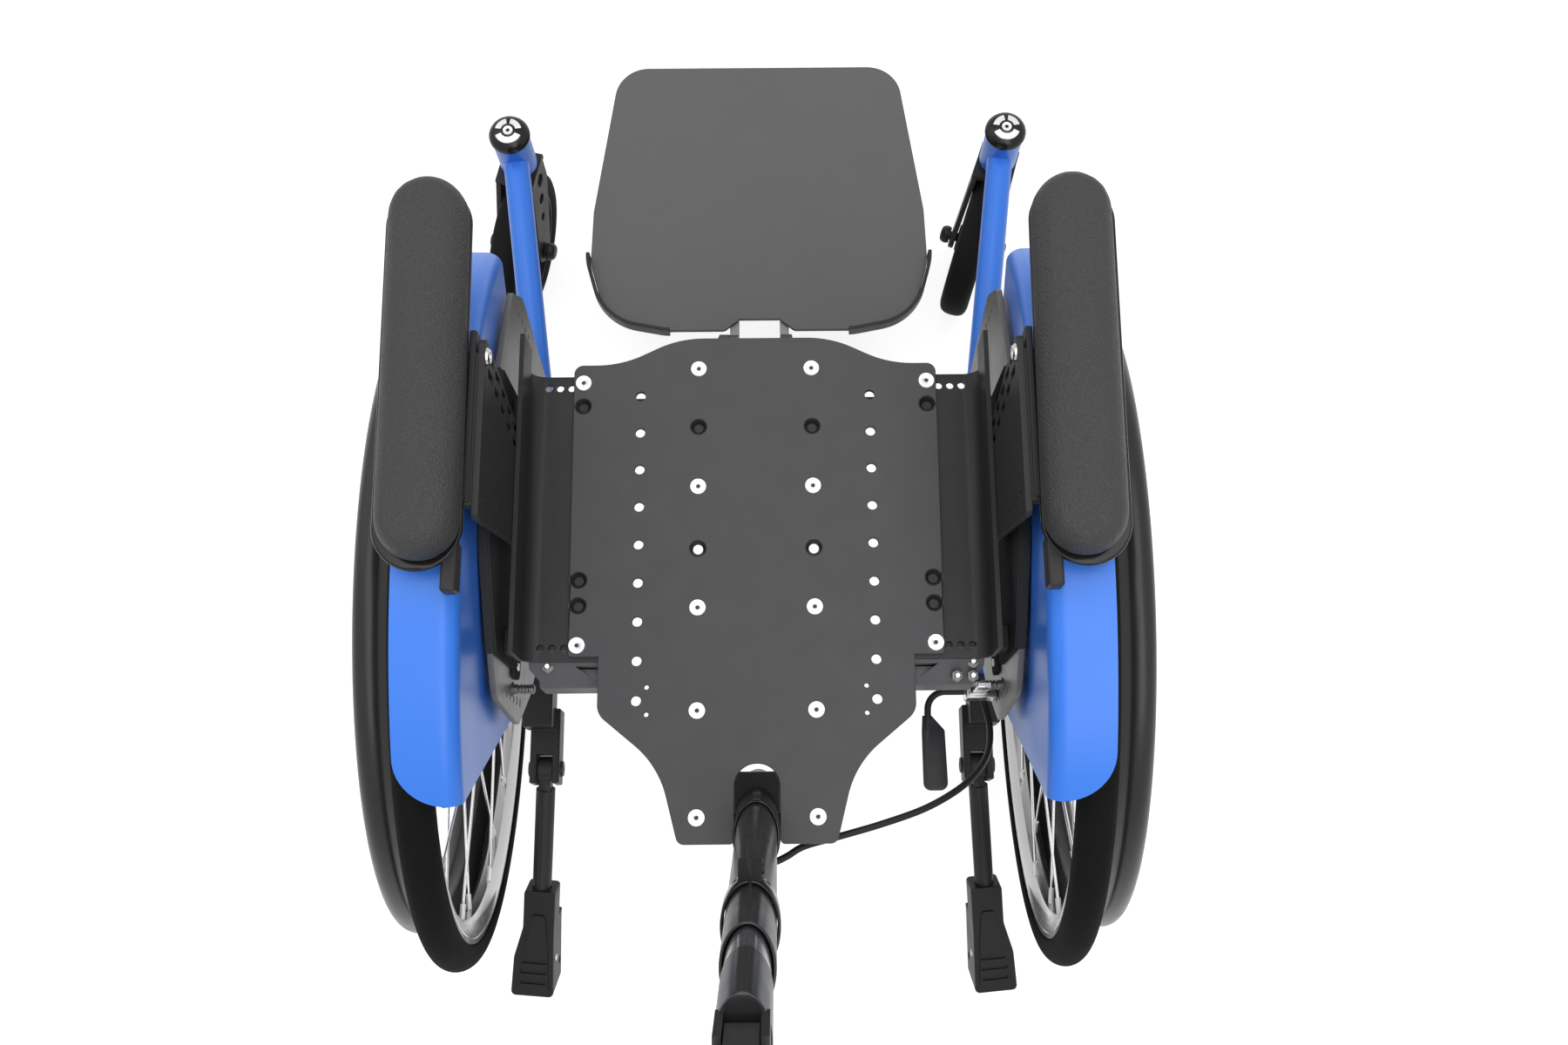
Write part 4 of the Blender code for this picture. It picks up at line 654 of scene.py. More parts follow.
def side_plate(label, side):
    outline = rounded(mm((
        (74, 0, 6), (86, -36, 30), (68, -136, 50), (60, -252, 12), (-90, -252, 15), (-136, -165, 30),
        (-178, -124, 12), (-204, -83, 8), (-197, -2, 20), (-158, 26, 30), (-110, 55, 60), (-40, 55, 80),
    ), ROW_Y, SEAT_TOP), 10)
    slot = ((-192, 0, 1), (-186, 0, 1), (-186, -3, 1), (-192, -3, 1))
    holes = []
    for row in range(5):
        holes.append(circle(0.0022, 20, (ROW_Y + 0.068, SEAT_TOP - 0.011 - row * 0.013)))
        holes.append(rounded(mm(slot, ROW_Y, SEAT_TOP - 0.034 - row * 0.012), 3))
    middle = side * (SIDE_INNER_X + SIDE_THICK / 2)
    plate = flat("side_plate_skin_" + label, outline, SIDE_THICK, upright(middle), SILVER, holes, edge=0.0004)
    put(plate, "chassis", "silver_alloy", "side_plate_" + label)
    side_shade_and_fittings(label, side)
    root = (WHEEL_X - SIDE_OUTER_X) / cos(CAMBER) + 0.0005
    profile = mm(((6.5, 0), (12.5, 0), (14, -1.5)), 0, -0.0185) + mm(((14, 3), (16.5, 0), (6.5, 0)), 0, -root)
    boss = turned("axle_boss_" + label, profile, wheel_frame(side), SILVER, 48, closed=True)
    put(boss, "chassis", "silver_alloy")


def side_shade_and_fittings(label, side):
    """Painted shadow on a side plate's inner face, as a black sheet and a black strip over its crest, and a
    tab, screws and a pin.
    """
    spot = (ROW_Y, SEAT_TOP)
    crest = mm(((-172, 15.5, 4), (-158, 25.5, 30), (-110, 54.5, 60), (-40, 54.5, 80), (8, 31.4, 4)), *spot)
    outline = rounded(mm(((8, -50, 4), (-172, -50, 4)), *spot) + crest, 10)
    # A black sheet over the plate's inner face: painted shadow where the plate's middle lies in shade.
    shade_sheet = flat("side_plate_shade_" + label, outline, 0.0022, upright(side * (SIDE_INNER_X - 0.0013)), MATT,
                 edge=0.0004)
    put(shade_sheet, "chassis", "black_metal")
    line = rounded(mm(((-190, 0, 0),), *spot) + crest[1:4] + mm(((50, 0, 0),), *spot), 12)[1:-1]
    line = mm(((-172, 16),), *spot) + line + mm(((8, 31.9),), *spot)
    # A black strip over the plate's crest: painted shadow along its shaded middle.
    crest_shade = flat("side_crest_shade_" + label, ribbon(line, 0.0012, -0.0045), 0.0056,
                upright(side * (SIDE_INNER_X + 0.0017)), MATT, edge=0.0006)
    put(crest_shade, "chassis", "black_plastic")
    tab_y, tab_z = (-0.1560, 0.3486) if side < 0 else (-0.1536, 0.3336)
    shape = rounded(mm(((-8, -10, 6), (8, -10, 6), (8, 12, 3), (-8, 12, 3)), tab_y, tab_z), 8)
    tab = flat("side_tab_" + label, shape, 0.0024, upright(side * (SIDE_INNER_X - 0.0014)), MATT, edge=0.0006)
    put(tab, "chassis", "black_metal")
    inward = (-side, 0, 0)
    spots = [facing((side * (SIDE_INNER_X - 0.0024), tab_y, tab_z), inward)]
    spots.append(facing((side * (SIDE_INNER_X - 0.0001), ROW_Y + 0.058, SEAT_TOP - 0.066), inward))
    screws("side_screws_" + label, spots, (2.6, 1, 1.1, 0.8), SCREW, "chassis", "chrome")
    profile = [(0, 14.5), (2.4, 14.5), (3.2, 13.8)]
    for height in (12.8, 10.6, 8.4, 6.2):
        profile += [(3.3, height), (3.3, height - 1.1), (2.6, height - 1.3), (2.6, height - 1.9)]
    profile += [(3.3, 3.6), (3.3, 1.2), (4.8, 1), (4.8, 0)]
    place = facing((side * SIDE_INNER_X, -0.171, 0.350), inward)
    put(turned("side_pin_" + label, mm(profile), place, SILVER, 40), "chassis", "chrome")


def drive_wheel(label, side):
    place = wheel_frame(side)
    body = "drive_wheel_" + label
    centre = TYRE_R - TYRE_HALF
    sweep = acos(-(centre - RIM_R - GAP) / TYRE_HALF)
    section = arc((centre, 0), TYRE_HALF, sweep, -sweep, 30)
    foot = section[0][1]
    section[0], section[-1] = (RIM_R + GAP, foot), (RIM_R + GAP, -foot)
    tyre = turned("tyre_skin_" + label, section, place, TYRE, 200, closed=True)
    put(tyre, body, "rubber", "tyre_" + label)

    profile = both_ways(mm((
        (-0.6, -7.6), (0, -8.2), (0, -9), (-0.5, -9.5), (-4, -9.5), (-4.6, -8.9), (-5.2, -9.4), (-9.5, -8.6),
        (-16, -4.8), (-17, -3.4),
    ), RIM_R))
    rim = turned("rim_skin_" + label, profile, place, RIM, 160, closed=True, angle=25)
    put(rim, body, "silver_alloy", "rim_" + label)

    middle = (HANDRIM_R - HANDRIM_TUBE_R, HANDRIM_AXIAL)
    ring = arc(middle, HANDRIM_TUBE_R, pi / 2, -pi / 5, 14)
    ring += mm(((-4, 12), (-4, 9.5), (-8.8, 9.5)), RIM_R, GAP)
    ring += arc(middle, HANDRIM_TUBE_R, -pi / 2, -pi * 5 / 4, 14)
    handrim = turned("handrim_skin_" + label, ring, place, HANDRIM, 200, closed=True)
    put(handrim, body, "black_plastic", "handrim_" + label)

    profile = both_ways(mm((
        (6.3, 18), (10.5, 18), (12, 17.4), (13, 16), (15, 15), (20.5, 15), (22, 14.6), (22, 13.4), (20.5, 13),
        (16, 13), (13.5, 11), (12, 6), (12, 0),
    )))
    hub = turned("hub_skin_" + label, profile, place, BLACK, 64, closed=True, angle=30)
    put(hub, body, "black_metal", "hub_" + label)
    spokes, nipples = bmesh.new(), bmesh.new()
    for k in range(SPOKES):
        flange = 1 if k % 2 else -1
        lead = 1 if (k // 2) % 2 else -1
        turn = 2 * pi * k / SPOKES
        root = flange * (0.0152 if lead > 0 else 0.0128)
        start = Vector((*polar(SPOKE_HUB_R, turn - lead * SPOKE_LEAD), root))
        end = Vector((*polar(SPOKE_RIM_R, turn), flange * (0.0032 if lead > 0 else 0.0008)))
        add_rod(spokes, start, end, 0.0010, 12)
        along = (end - start).normalized()
        add_rod(nipples, end - along * 0.011, end, 0.0019, 14, 0.0021)
        inward = Vector((0, 0, -flange * lead * 0.0025))
        add_rod(nipples, start - inward * 0.1, start + inward, 0.0019, 14)
    put(from_bmesh("spokes_" + label, spokes, place, SPOKE), body, "chrome")
    put(from_bmesh("spoke_nipples_" + label, nipples, place, SCREW), body, "chrome")
    profile = mm((
        (0, 28), (2.8, 28), (3, 27.6), (3, 26.8), (3.6, 26.8), (5.8, 26.8), (6.4, 26.4), (8.5, 23.8),
        (8.5, 19.2), (8, 18.3), (6, 18.3), (6, -35.2), (5.2, -36), (0, -36),
    ))
    axle = turned("axle_skin_" + label, profile, place, CHROME, 48, angle=28)
    put(axle, "chassis", "chrome", "axle_" + label)


def front_frame(label, side):
    x, y = side * PIVOT[0], PIVOT[1]
    path = bend([
        (side * FRAME_X, ROW_Y - 0.150, FRAME_Z, 0), (side * FRAME_X, ROW_Y + 0.045, FRAME_Z, 0.12),
        (x, y, FRAME_Z + 0.006, 0),
    ], 24)
    body = tube("frame_skin_" + label, path, FRAME_TUBE_R, BLUE, 12)
    head = rod("head", (x, y, HEAD_LOW + 0.0032), (x, y, HEAD_TOP - 0.0022), 0.016, None, 64)
    bore = rod("bore", (x, y, HEAD_LOW - 0.01), (x, y, HEAD_TOP + 0.01), 0.0085)
    join(body, head)
    put(cut(body, bore, edge=0.0007), "chassis", "blue_paint", "frame_" + label)
    low = mm(((8.8, 0), (15.2, 0), (16, 0.8), (16, 2.8), (8.8, 2.8)), 0, HEAD_LOW)
    top = mm(((8.8, -2), (15.8, -2), (16.3, -1.5), (15.8, 0), (8.8, 0)), 0, HEAD_TOP)
    for name, profile in (("low", low), ("top", top)):
        ring = turned(f"head_bearing_{name}_{label}", profile, at(x, y, 0), BLACK, 64, closed=True)
        put(ring, "chassis", "black_metal")

    dome = ((0, 8.6), (4, 8.5), (8.5, 8), (12.8, 6.8), (16, 4.6), (17.4, 2), (17.5, 0.4), (17, 0), (0, 0))
    dome = mm([(radius, height / 0.92) for radius, height in dome])
    place = at(x, y, HEAD_TOP + GAP)
    cap = turned("caster_cap_skin_" + label, dome, place, GLOSS, 64, angle=50)
    put(cap, "chassis", "black_plastic", "caster_cap_" + label)
    bm = bmesh.new()
    for first, last in ((202, 338), (100, 168), (12, 80)):
        rows = []
        for radius, height in mm(((6.2, 9.1), (6.4, 9.5), (11.2, 8.75), (11.5, 8))):
            line = arc((0, 0), radius, radians(first), radians(last), 16)
            rows.append([bm.verts.new((*spot, height)) for spot in line])
        bridge(bm, rows, ring=False)
    put(from_bmesh("cap_ring_" + label, bm, place, SCREW), "chassis", "chrome")
    screws("cap_screw_" + label, [place @ level(0.0086)], (4.3, 1.3, 1.8, 1.2), SCREW, "chassis", "chrome")


def caster(label, side):
    place = at(side * PIVOT[0], PIVOT[1], 0) @ turn_by(-CASTER_SWIVEL[label], "Z")
    body = "caster_" + label
    crown_low = HEAD_LOW - GAP - 0.006
    leg_top = crown_low + 0.0052
    spans = (-17.1, 17.1, -20, 14, 0, 6)
    crown = box("caster_fork_skin_" + label, spans, BLACK, (0, 0, crown_low), matrix=place, edge=0)
    outline = rounded(
        mm(((13, 0, 3), (10, -26, 20)), 0, leg_top)
        + mm(((14, -4, 10), (-2, -14, 10), (-14, 2, 10)), -CASTER_TRAIL, CASTER_R)
        + mm(((-20, 0, 6),), 0, leg_top), 10)
    holes = [circle(radius, 32, (y, z)) for y, z, radius in
             mm(((-4, -14, 6), (-13, -31, 4.8), (-22, -48, 3.8)), 0, leg_top)]
    holes.append(circle(0.0045, 32, (-CASTER_TRAIL, CASTER_R)))
    for end in (-1, 1):
        lean = turn_by(-end * LEG_THICK / (leg_top - CASTER_R), "Y")
        foot = at(end * (LEG_X + LEG_THICK / 2), 0, CASTER_R)
        middle = place @ foot @ lean @ level(-CASTER_R) @ upright(0)
        join(crown, flat("leg", outline, LEG_THICK, middle, None, holes))
    join(crown, rod("stem", (0, 0, leg_top - 0.003), (0, 0, HEAD_TOP - 0.004), 0.008, None, 40, place))
    put(soften(crown, 0.0005), body, "black_metal", "caster_fork_" + label)

    spin = place @ at(0, -CASTER_TRAIL, CASTER_R) @ turn_by(pi / 2, "Y")
    tread = both_ways(mm((
        (52.3, 12), (56, 12.8), (60, 13), (64, 12.09), (67.2, 10.14), (69, 7.15), (69.8, 3.64), (70, 0),
    )))
    wheel = "caster_wheel_" + label
    tyre = turned("caster_tyre_skin_" + label, tread, spin, RUBBER, 120, closed=True)
    put(tyre, wheel, "rubber", "caster_tyre_" + label)
    profile = both_ways(mm((
        (4.5, 15), (6.2, 15), (6.2, 14.2), (10.5, 14.2), (10.5, 15), (11.5, 15), (12.5, 13.8), (14, 7),
        (16, 5), (42, 4.6), (45.5, 5.6), (47.5, 9), (48.5, 10.8), (50, 11.6), (52, 11.4),
    )))
    core = turned("caster_core_skin_" + label, profile, spin, PLASTIC, 96, closed=True, angle=30)
    windows = bmesh.new()
    for k in range(5):
        spot = polar(0.030, 2 * pi * (k + 0.5) / 5)
        add_rod(windows, (*spot, -0.02), (*spot, 0.02), 0.0095, 40)
    cut(core, from_bmesh("windows", windows, spin), edge=0.0005)
    put(core, wheel, "black_plastic", "caster_core_" + label)
    knobs = both_ways(mm((
        (0, 31), (3, 31), (5.6, 30.4), (7.2, 28.8), (7.9, 26.5), (8, 24.4), (7.4, 23.6), (7.4, 22), (4, 22),
    )))
    axle = turned("caster_axle_skin_" + label, knobs, spin, BLACK, 48, angle=30)
    put(axle, body, "black_plastic", "caster_axle_" + label)


def footrest():
    outline = rounded(mirrored(mm((
        (0, 253, 0), (123.5, 253, 30), (144, 112, 50), (145.5, 62, 50), (130.95, 10, 45), (80.025, 0, 40),
        (29.7, 0, 6), (17.2, 10, 2),
    ), 0, FOOT_REAR)), 20)
    plate = flat("footplate_skin", outline, FOOT_THICK, level(FOOT_TOP - FOOT_THICK / 2), FOOT, edge=0.0008)
    put(plate, "footrest", "footplate_grey", "footplate")
    inner = [(x, y) for x, y in outline if x > 0.0357 and y < FOOT_REAR + 0.104]
    loop = ribbon(inner, GAP, GAP + 0.003)
    for label, side in SIDES:
        lip = flat("footplate_lip_" + label, [(side * x, y) for x, y in loop], 0.013,
                   level(FOOT_TOP - FOOT_THICK + 0.0065), BLACK, edge=0.0006)
        put(lip, "footrest", "black_plastic", "footplate_edge_" + label)

    top = SEAT_TOP - PLATE_THICK - 0.018
    low = FOOT_TOP - FOOT_THICK - GAP
    foot_y = FOOT_REAR - 0.005
    outline = rounded(
        mm(((36.3, 14, 0), (36.3, -6, 0), (41, -18, 10)), ROW_Y, top)
        + mm(((-18, -2, 8), (2, -12, 6), (70, -10, 3), (70, 0, 0), (2, 0, 0), (-12, 30, 20)), foot_y, low)
        + mm(((56, -10, 12), (44, 14, 6)), ROW_Y, top), 10)
    hanger = flat("footplate_hanger_skin", outline, 0.0076, upright(-HANGER_X), BLACK, edge=0.0008)
    other = flat("bar", outline, 0.0076, upright(HANGER_X), edge=0.0008)
    spot = (foot_y + 0.040, low - 0.005)
    rung = rod("rung", (-0.021, *spot), (0.021, *spot), 0.004, None, 32)
    put(join(hanger, rung, other), "chassis", "silver_alloy", "footplate_hanger")
    for label, side in SIDES:
        spans = (-3.82, 3.82, 2, 70.2, -8.5, 0.1)
        strap = box("hanger_strap_" + label, spans, STRAP, (side * HANGER_X, foot_y, low), edge=0.0005)
        put(strap, "chassis", "silver_alloy")


def armrest(label, side):
    inner_x = RAIL_WALL_X + RAIL_THICK + GAP
    body = "armrest_" + label
    outline = rounded(
        mm(((-11, -1, 4),), ROW_Y, BRACKET_TOP)
        + mm(((-33, 10, 6), (-40, 0, 6), (-100, 0, 10)), ROW_Y, SEAT_TOP - 0.012)
        + mm(((-118, -1, 4),), ROW_Y, BRACKET_TOP), 8)
    slot = ((-2.2, 0, 0.8), (2.2, 2, 0.8), (1.5, -13, 0.8), (-2.9, -15, 0.8))
    holes = []
    for row in range(5):
        for column in (0.019, 0.029):
            spot = (ROW_Y - column - 0.0033 * row, BRACKET_TOP - 0.012 - 0.0205 * row)
            holes.append(rounded(mm(slot, *spot), 3))
    small = ((-77.9, 520.8), (-77.6, 494.3), (-77.2, 470.2), (-88.4, 523), (-87.4, 507.5), (-88, 481.5),
             (-86.8, 457))
    holes += [circle(0.0011, 16, spot, 2.2) for spot in mm(small)]
    middle = side * (inner_x + 0.002)
    bracket = flat("armrest_plate_" + label, outline, 0.004, upright(middle), BLACK, holes, edge=0.0004)
    put(bracket, body, "black_metal", "armrest_bracket_" + label)
    base_place = at(side * PAD_BASE_X, PAD_Y, BRACKET_TOP - 0.002) @ turn_by(-side * PAD_TOE, "Z")
    base = flat("armrest_base_" + label, stadium(0.025, 0.090, 32), 0.004, base_place, GLOSS, edge=0.0014)
    put(base, body, "black_plastic")
    spot = (0, ROW_Y, BRACKET_TOP)
    for name, spans, edge in (
        ("flange", (155.1, 159.2, -108, -7, -16, -1), 0.001),
        ("rib", (149.8, 171.2, -110, -20, -10, -2), 0.001),
        ("tab", (160, 169, -158, -130, -13, -0.5), 0.0016),
    ):
        put(box(f"armrest_{name}_{label}", spans, BLACK, spot, side, edge=edge), body, "black_metal")
    inward = (-side, 0, 0)
    screw = facing((side * (inner_x - 0.0001), -0.0085, BRACKET_TOP - 0.0060), inward)
    ring = mm(((2.2, 1.4), (2.6, 2), (4, 2), (5, 1.2), (5.2, 0), (2.2, 0)))
    put(turned("bracket_ring_" + label, ring, screw, CHROME, 48, closed=True), body, "chrome")
    core = turned("bracket_ring_core_" + label, mm(((0, 0.6), (2.2, 0.6), (2.2, 0))), screw, GLOSS, 32)
    put(core, body, "black_plastic")
    small = facing((side * 0.1550, -0.0780, BRACKET_TOP - 0.0085), inward)
    screws("bracket_screw_" + label, [small], (2, 0.9, 0.9, 0.7), SCREW, body, "chrome")


def pad(label, side):
    """A pad of foam under vinyl: its form swells a little as cloth that is held at its base."""
    place = at(side * PAD_X, PAD_Y, BRACKET_TOP + GAP) @ turn_by(-side * PAD_TOE, "Z")
    bm = bmesh.new()
    loops = []
    for height, share in (
        (0.0, 0.90), (0.0015, 0.945), (0.0045, 0.985), (0.009, 1.0), (0.014, 0.99), (0.0185, 0.95),
        (0.022, 0.89), (0.0245, 0.80), (0.0262, 0.68), (0.0272, 0.53), (0.0277, 0.36),
    ):
        line = stadium(PAD_HALF * share, PAD_STRAIGHT, 24)
        loops.append([bm.verts.new((*spot, height)) for spot in line])
    bridge(bm, loops)
    bm.faces.new(list(reversed(loops[0])))
    bm.faces.new(loops[-1])
    cover = from_bmesh("armrest_cover_" + label, bm, place, VINYL)
    swell(cover)
    fine = cover.modifiers.new("Fine", "SUBSURF")
    fine.levels = 1
    fine.render_levels = 1
    put(cover, "armrest_" + label, "pad_leather", "armrest_pad_" + label)


def swell(cover):
    """Remesh a form evenly, let it swell as cloth with its base held, and keep the small movement."""
    even = cover.modifiers.new("Even", "REMESH")
    even.mode = "VOXEL"
    even.voxel_size = 0.0042
    even.use_smooth_shade = True
    mesh = baked(cover)
    cover.modifiers.clear()
    cover.data = mesh
    before = [vertex.co.copy() for vertex in mesh.vertices]
    base = cover.vertex_groups.new(name="base")
    base.add([v.index for v in mesh.vertices if v.co.z < 0.0035], 1.0, "REPLACE")
    cloth = cover.modifiers.new("Cloth", "CLOTH")
    cloth.settings.vertex_group_mass = "base"
    cloth.settings.use_pressure = True
    cloth.settings.uniform_pressure_force = 4.0
    cloth.settings.effector_weights.gravity = 0.0
    cloth.settings.tension_stiffness = 40.0
    cloth.settings.compression_stiffness = 40.0
    cloth.settings.bending_stiffness = 2.0
    cloth.point_cache.frame_start = 1
    cloth.point_cache.frame_end = 20
    scene = bpy.context.scene
    for number in range(1, 21):
        scene.frame_set(number)
    swollen = baked(cover)
    cover.modifiers.clear()
    limit = 0.0011
    for vertex, old, new in zip(mesh.vertices, before, swollen.vertices):
        step = new.co - old
        vertex.co = old + (step.normalized() * min(step.length, limit) if step.length > 0 else step)
    bpy.data.meshes.remove(swollen)
    scene.frame_set(1)
    smooth = cover.modifiers.new("Smooth", "SMOOTH")
    smooth.factor = 0.5
    smooth.iterations = 3
    mesh.shade_smooth()


def fender(label, side):
    """A bent sheet over the wheel: a top that ends round at the rear, a bend and a wall inside the wheel."""
    crest_x = SIDE_OUTER_X + 0.001 + (SEAT_TOP + 0.055 - AXLE_Z) * tan(CAMBER)
    wall_in = (crest_x - WHEEL_X) * cos(CAMBER) + 0.00125
    bend_r, corner, columns = 0.009, 0.030, 72
    inner = wall_in + bend_r
    length = FENDER_R * (FENDER_STOP - FENDER_START)
    low_front, low_rear = Vector((0.165, 0.070)), Vector((-0.074, -0.004))
    bm = bmesh.new()
    grid = []
    for i in range(columns + 1):
        share = 0.5 - 0.5 * cos(pi * i / columns)
        turn = FENDER_START + (FENDER_STOP - FENDER_START) * share
        top = Vector((cos(turn), sin(turn))) * FENDER_R
        bottom = low_front.lerp(low_rear, share)
        down = (bottom - top).normalized()
        to_end = corner - length * (1 - share)
        drawn_in = corner - sqrt(max(corner ** 2 - to_end ** 2, 0)) if to_end > 0 else 0
        outer = 0.006 - drawn_in
        row = [(outer + (inner - outer) * k / 8, top) for k in range(9)]
        for k in range(1, 9):
            swing = pi / 2 * k / 8
            row.append((inner - bend_r * sin(swing), top + down * bend_r * (1 - cos(swing))))
        row += [(wall_in, (top + down * bend_r).lerp(bottom, k / 8)) for k in range(1, 9)]
        grid.append([bm.verts.new((side * across, y, z)) for across, (y, z) in row])
    bridge(bm, grid, ring=False)
    obj = from_bmesh("fender_skin_" + label, bm, camber_frame(side), BLUE, 60)
    skin = obj.modifiers.new("Skin", "SOLIDIFY")
    skin.thickness = 0.0025
    skin.offset = 0
    put(soften(obj, 0.0007), "chassis", "blue_paint", "fender_" + label)


def anti_tipper(label, side):
    x, y, z = side * TIP_X, TIP_Y, TIP_Z
    clevis = box("tip_clevis_" + label, (-11.5, 11.5, -12, 46, -10, 12), BLACK, (x, y, z), edge=0)
    join(clevis, box("block", (-15, 8, -188, -150.3, -13, 13), None, (FRAME_X, ROW_Y, FRAME_Z), side))
    slot = box("slot", (-6, 6, -20, 10.3, -20, 20), None, (x, y, z))
    put(cut(clevis, slot, edge=0.0012), "chassis", "black_plastic", "tip_bracket_" + label)
    for end in (-1, 1):
        name = f"tip_pin_{'inner' if end * side < 0 else 'outer'}_{label}"
        knob = facing((x + end * 0.0113, y, z), (end, 0, 0))
        screws(name, [knob], (6.2, 2.2, 2.2, 1.6), BLACK, "chassis", "black_plastic")

    place = at(x, y, z) @ turn_by(side * TIP_SPLAY, "Z") @ turn_by(TIP_SLOPE, "X")
    body = "tipper_" + label
    arm = rod("tip_tube_" + label, (0, -0.0165, 0), (0, -0.145, 0), 0.0075, BLACK, 48, place)
    eye = rod("eye", (-0.0055, 0, 0), (0.0055, 0, 0), 0.0095, None, 48, at(x, y, z))
    neck = box("neck", (-4.5, 4.5, -26, -4, -6, 6), matrix=place)
    join(arm, neck, eye)
    cut(arm, rod("hole", (x - 0.03, y, z), (x + 0.03, y, z), 0.0043, None, 32))
    bm = bmesh.new()
    for k in range(7):
        spot = polar(0.0082, 2 * pi * k / 7)
        add_rod(bm, (spot[0], -0.028, spot[1]), (spot[0], -0.099, spot[1]), 0.0011, 12)
    put(cut(arm, from_bmesh("grooves", bm, place), edge=0.0003), body, "black_metal", "tip_arm_" + label)

    shape = rounded(mm((
        (-12.5, -100, 3), (-12.5, -140, 20), (-14, -192, 4), (20.5, -192, 4), (19, -158, 20),
        (12.5, -132, 16), (12.5, -100, 3),
    ), side=side), 8)
    foot = flat("tip_foot_skin_" + label, shape, 0.036, place @ level(-0.008), PLASTIC, edge=0.0012)
    wheel_at = Vector((side * 0.003, -0.173, -0.018))
    reach = Vector((0.03, 0, 0))
    pocket = box("pocket", (-9.2, 9.2, -202, -142, -40, 5.2), None, (wheel_at.x, 0, 0), matrix=place)
    sleeve = rod("sleeve", (0, -0.090, 0), (0, -0.1455, 0), 0.0078, None, 40, place)
    relief = box("relief", (-30, 30, -130, -90, -40, -12), matrix=place)
    cut(foot, pocket, sleeve, relief)
    cut(foot, rod("axle_hole", wheel_at - reach, wheel_at + reach, 0.0033, None, 24, place))
    put(soften(foot, 0.0006), body, "black_plastic", "tip_foot_" + label)
    ridge = rounded(mm((
        (-5, -120, 3), (5, -120, 3), (9.5, -142, 12), (15.5, -188, 3), (-10, -188, 3), (-7.5, -142, 12),
    ), side=side), 6)
    crest = flat("tip_ridge_" + label, ridge, 0.0026, place @ level(0.0103), PLASTIC, edge=0)
    bar = ((-10.5, 0, 1.4), (10.5, 0, 1.4), (10.5, 3.8, 1.4), (-10.5, 3.8, 1.4))
    grips = [flat("grip", rounded(mm(bar, side * 0.0025, -0.180 + 0.009 * k), 4), 0.002,
                  place @ level(0.0112), edge=0) for k in range(3)]
    put(cut(crest, *grips, edge=0.0007), body, "black_plastic")
    screw = place @ facing((-side * 0.0129, -0.162, -0.002), (-side, 0, 0))
    screws("tip_screw_" + label, [screw], (2.6, 0.9, 1.1, 0.7), SCREW, body, "chrome")
    profile = both_ways(mm((
        (0, 12.5), (2.6, 12.5), (3, 12.1), (3, 9.2), (6, 8.8), (6.6, 7.8), (15, 7.4), (16, 8), (20.2, 7.8),
        (21.4, 6.6), (22, 4.6), (22, 0),
    )))
    axis = place @ at(*wheel_at) @ turn_by(pi / 2, "Y")
    wheel = turned("tip_wheel_skin_" + label, profile, axis, RUBBER, 64, angle=30)
    put(wheel, "tipper_wheel_" + label, "rubber", "tip_wheel_" + label)


def post_frame(distance):
    return at(0, POST_Y, SEAT_TOP) @ turn_by(POST_LEAN, "X") @ level(distance)


def oval(grow):
    return circle(POST_HALF[0] + grow, 72, stretch=(POST_HALF[1] + grow) / (POST_HALF[0] + grow))


def oval_tube(name, grow, bore_grow, low, high, material=None, edge=0.0004):
    """A length of the post's oval section, grown by a wall, with a bore unless its growth is None."""
    holes = () if bore_grow is None else (oval(bore_grow),)
    return flat(name, oval(grow), high - low, post_frame((low + high) / 2), material, holes, edge)


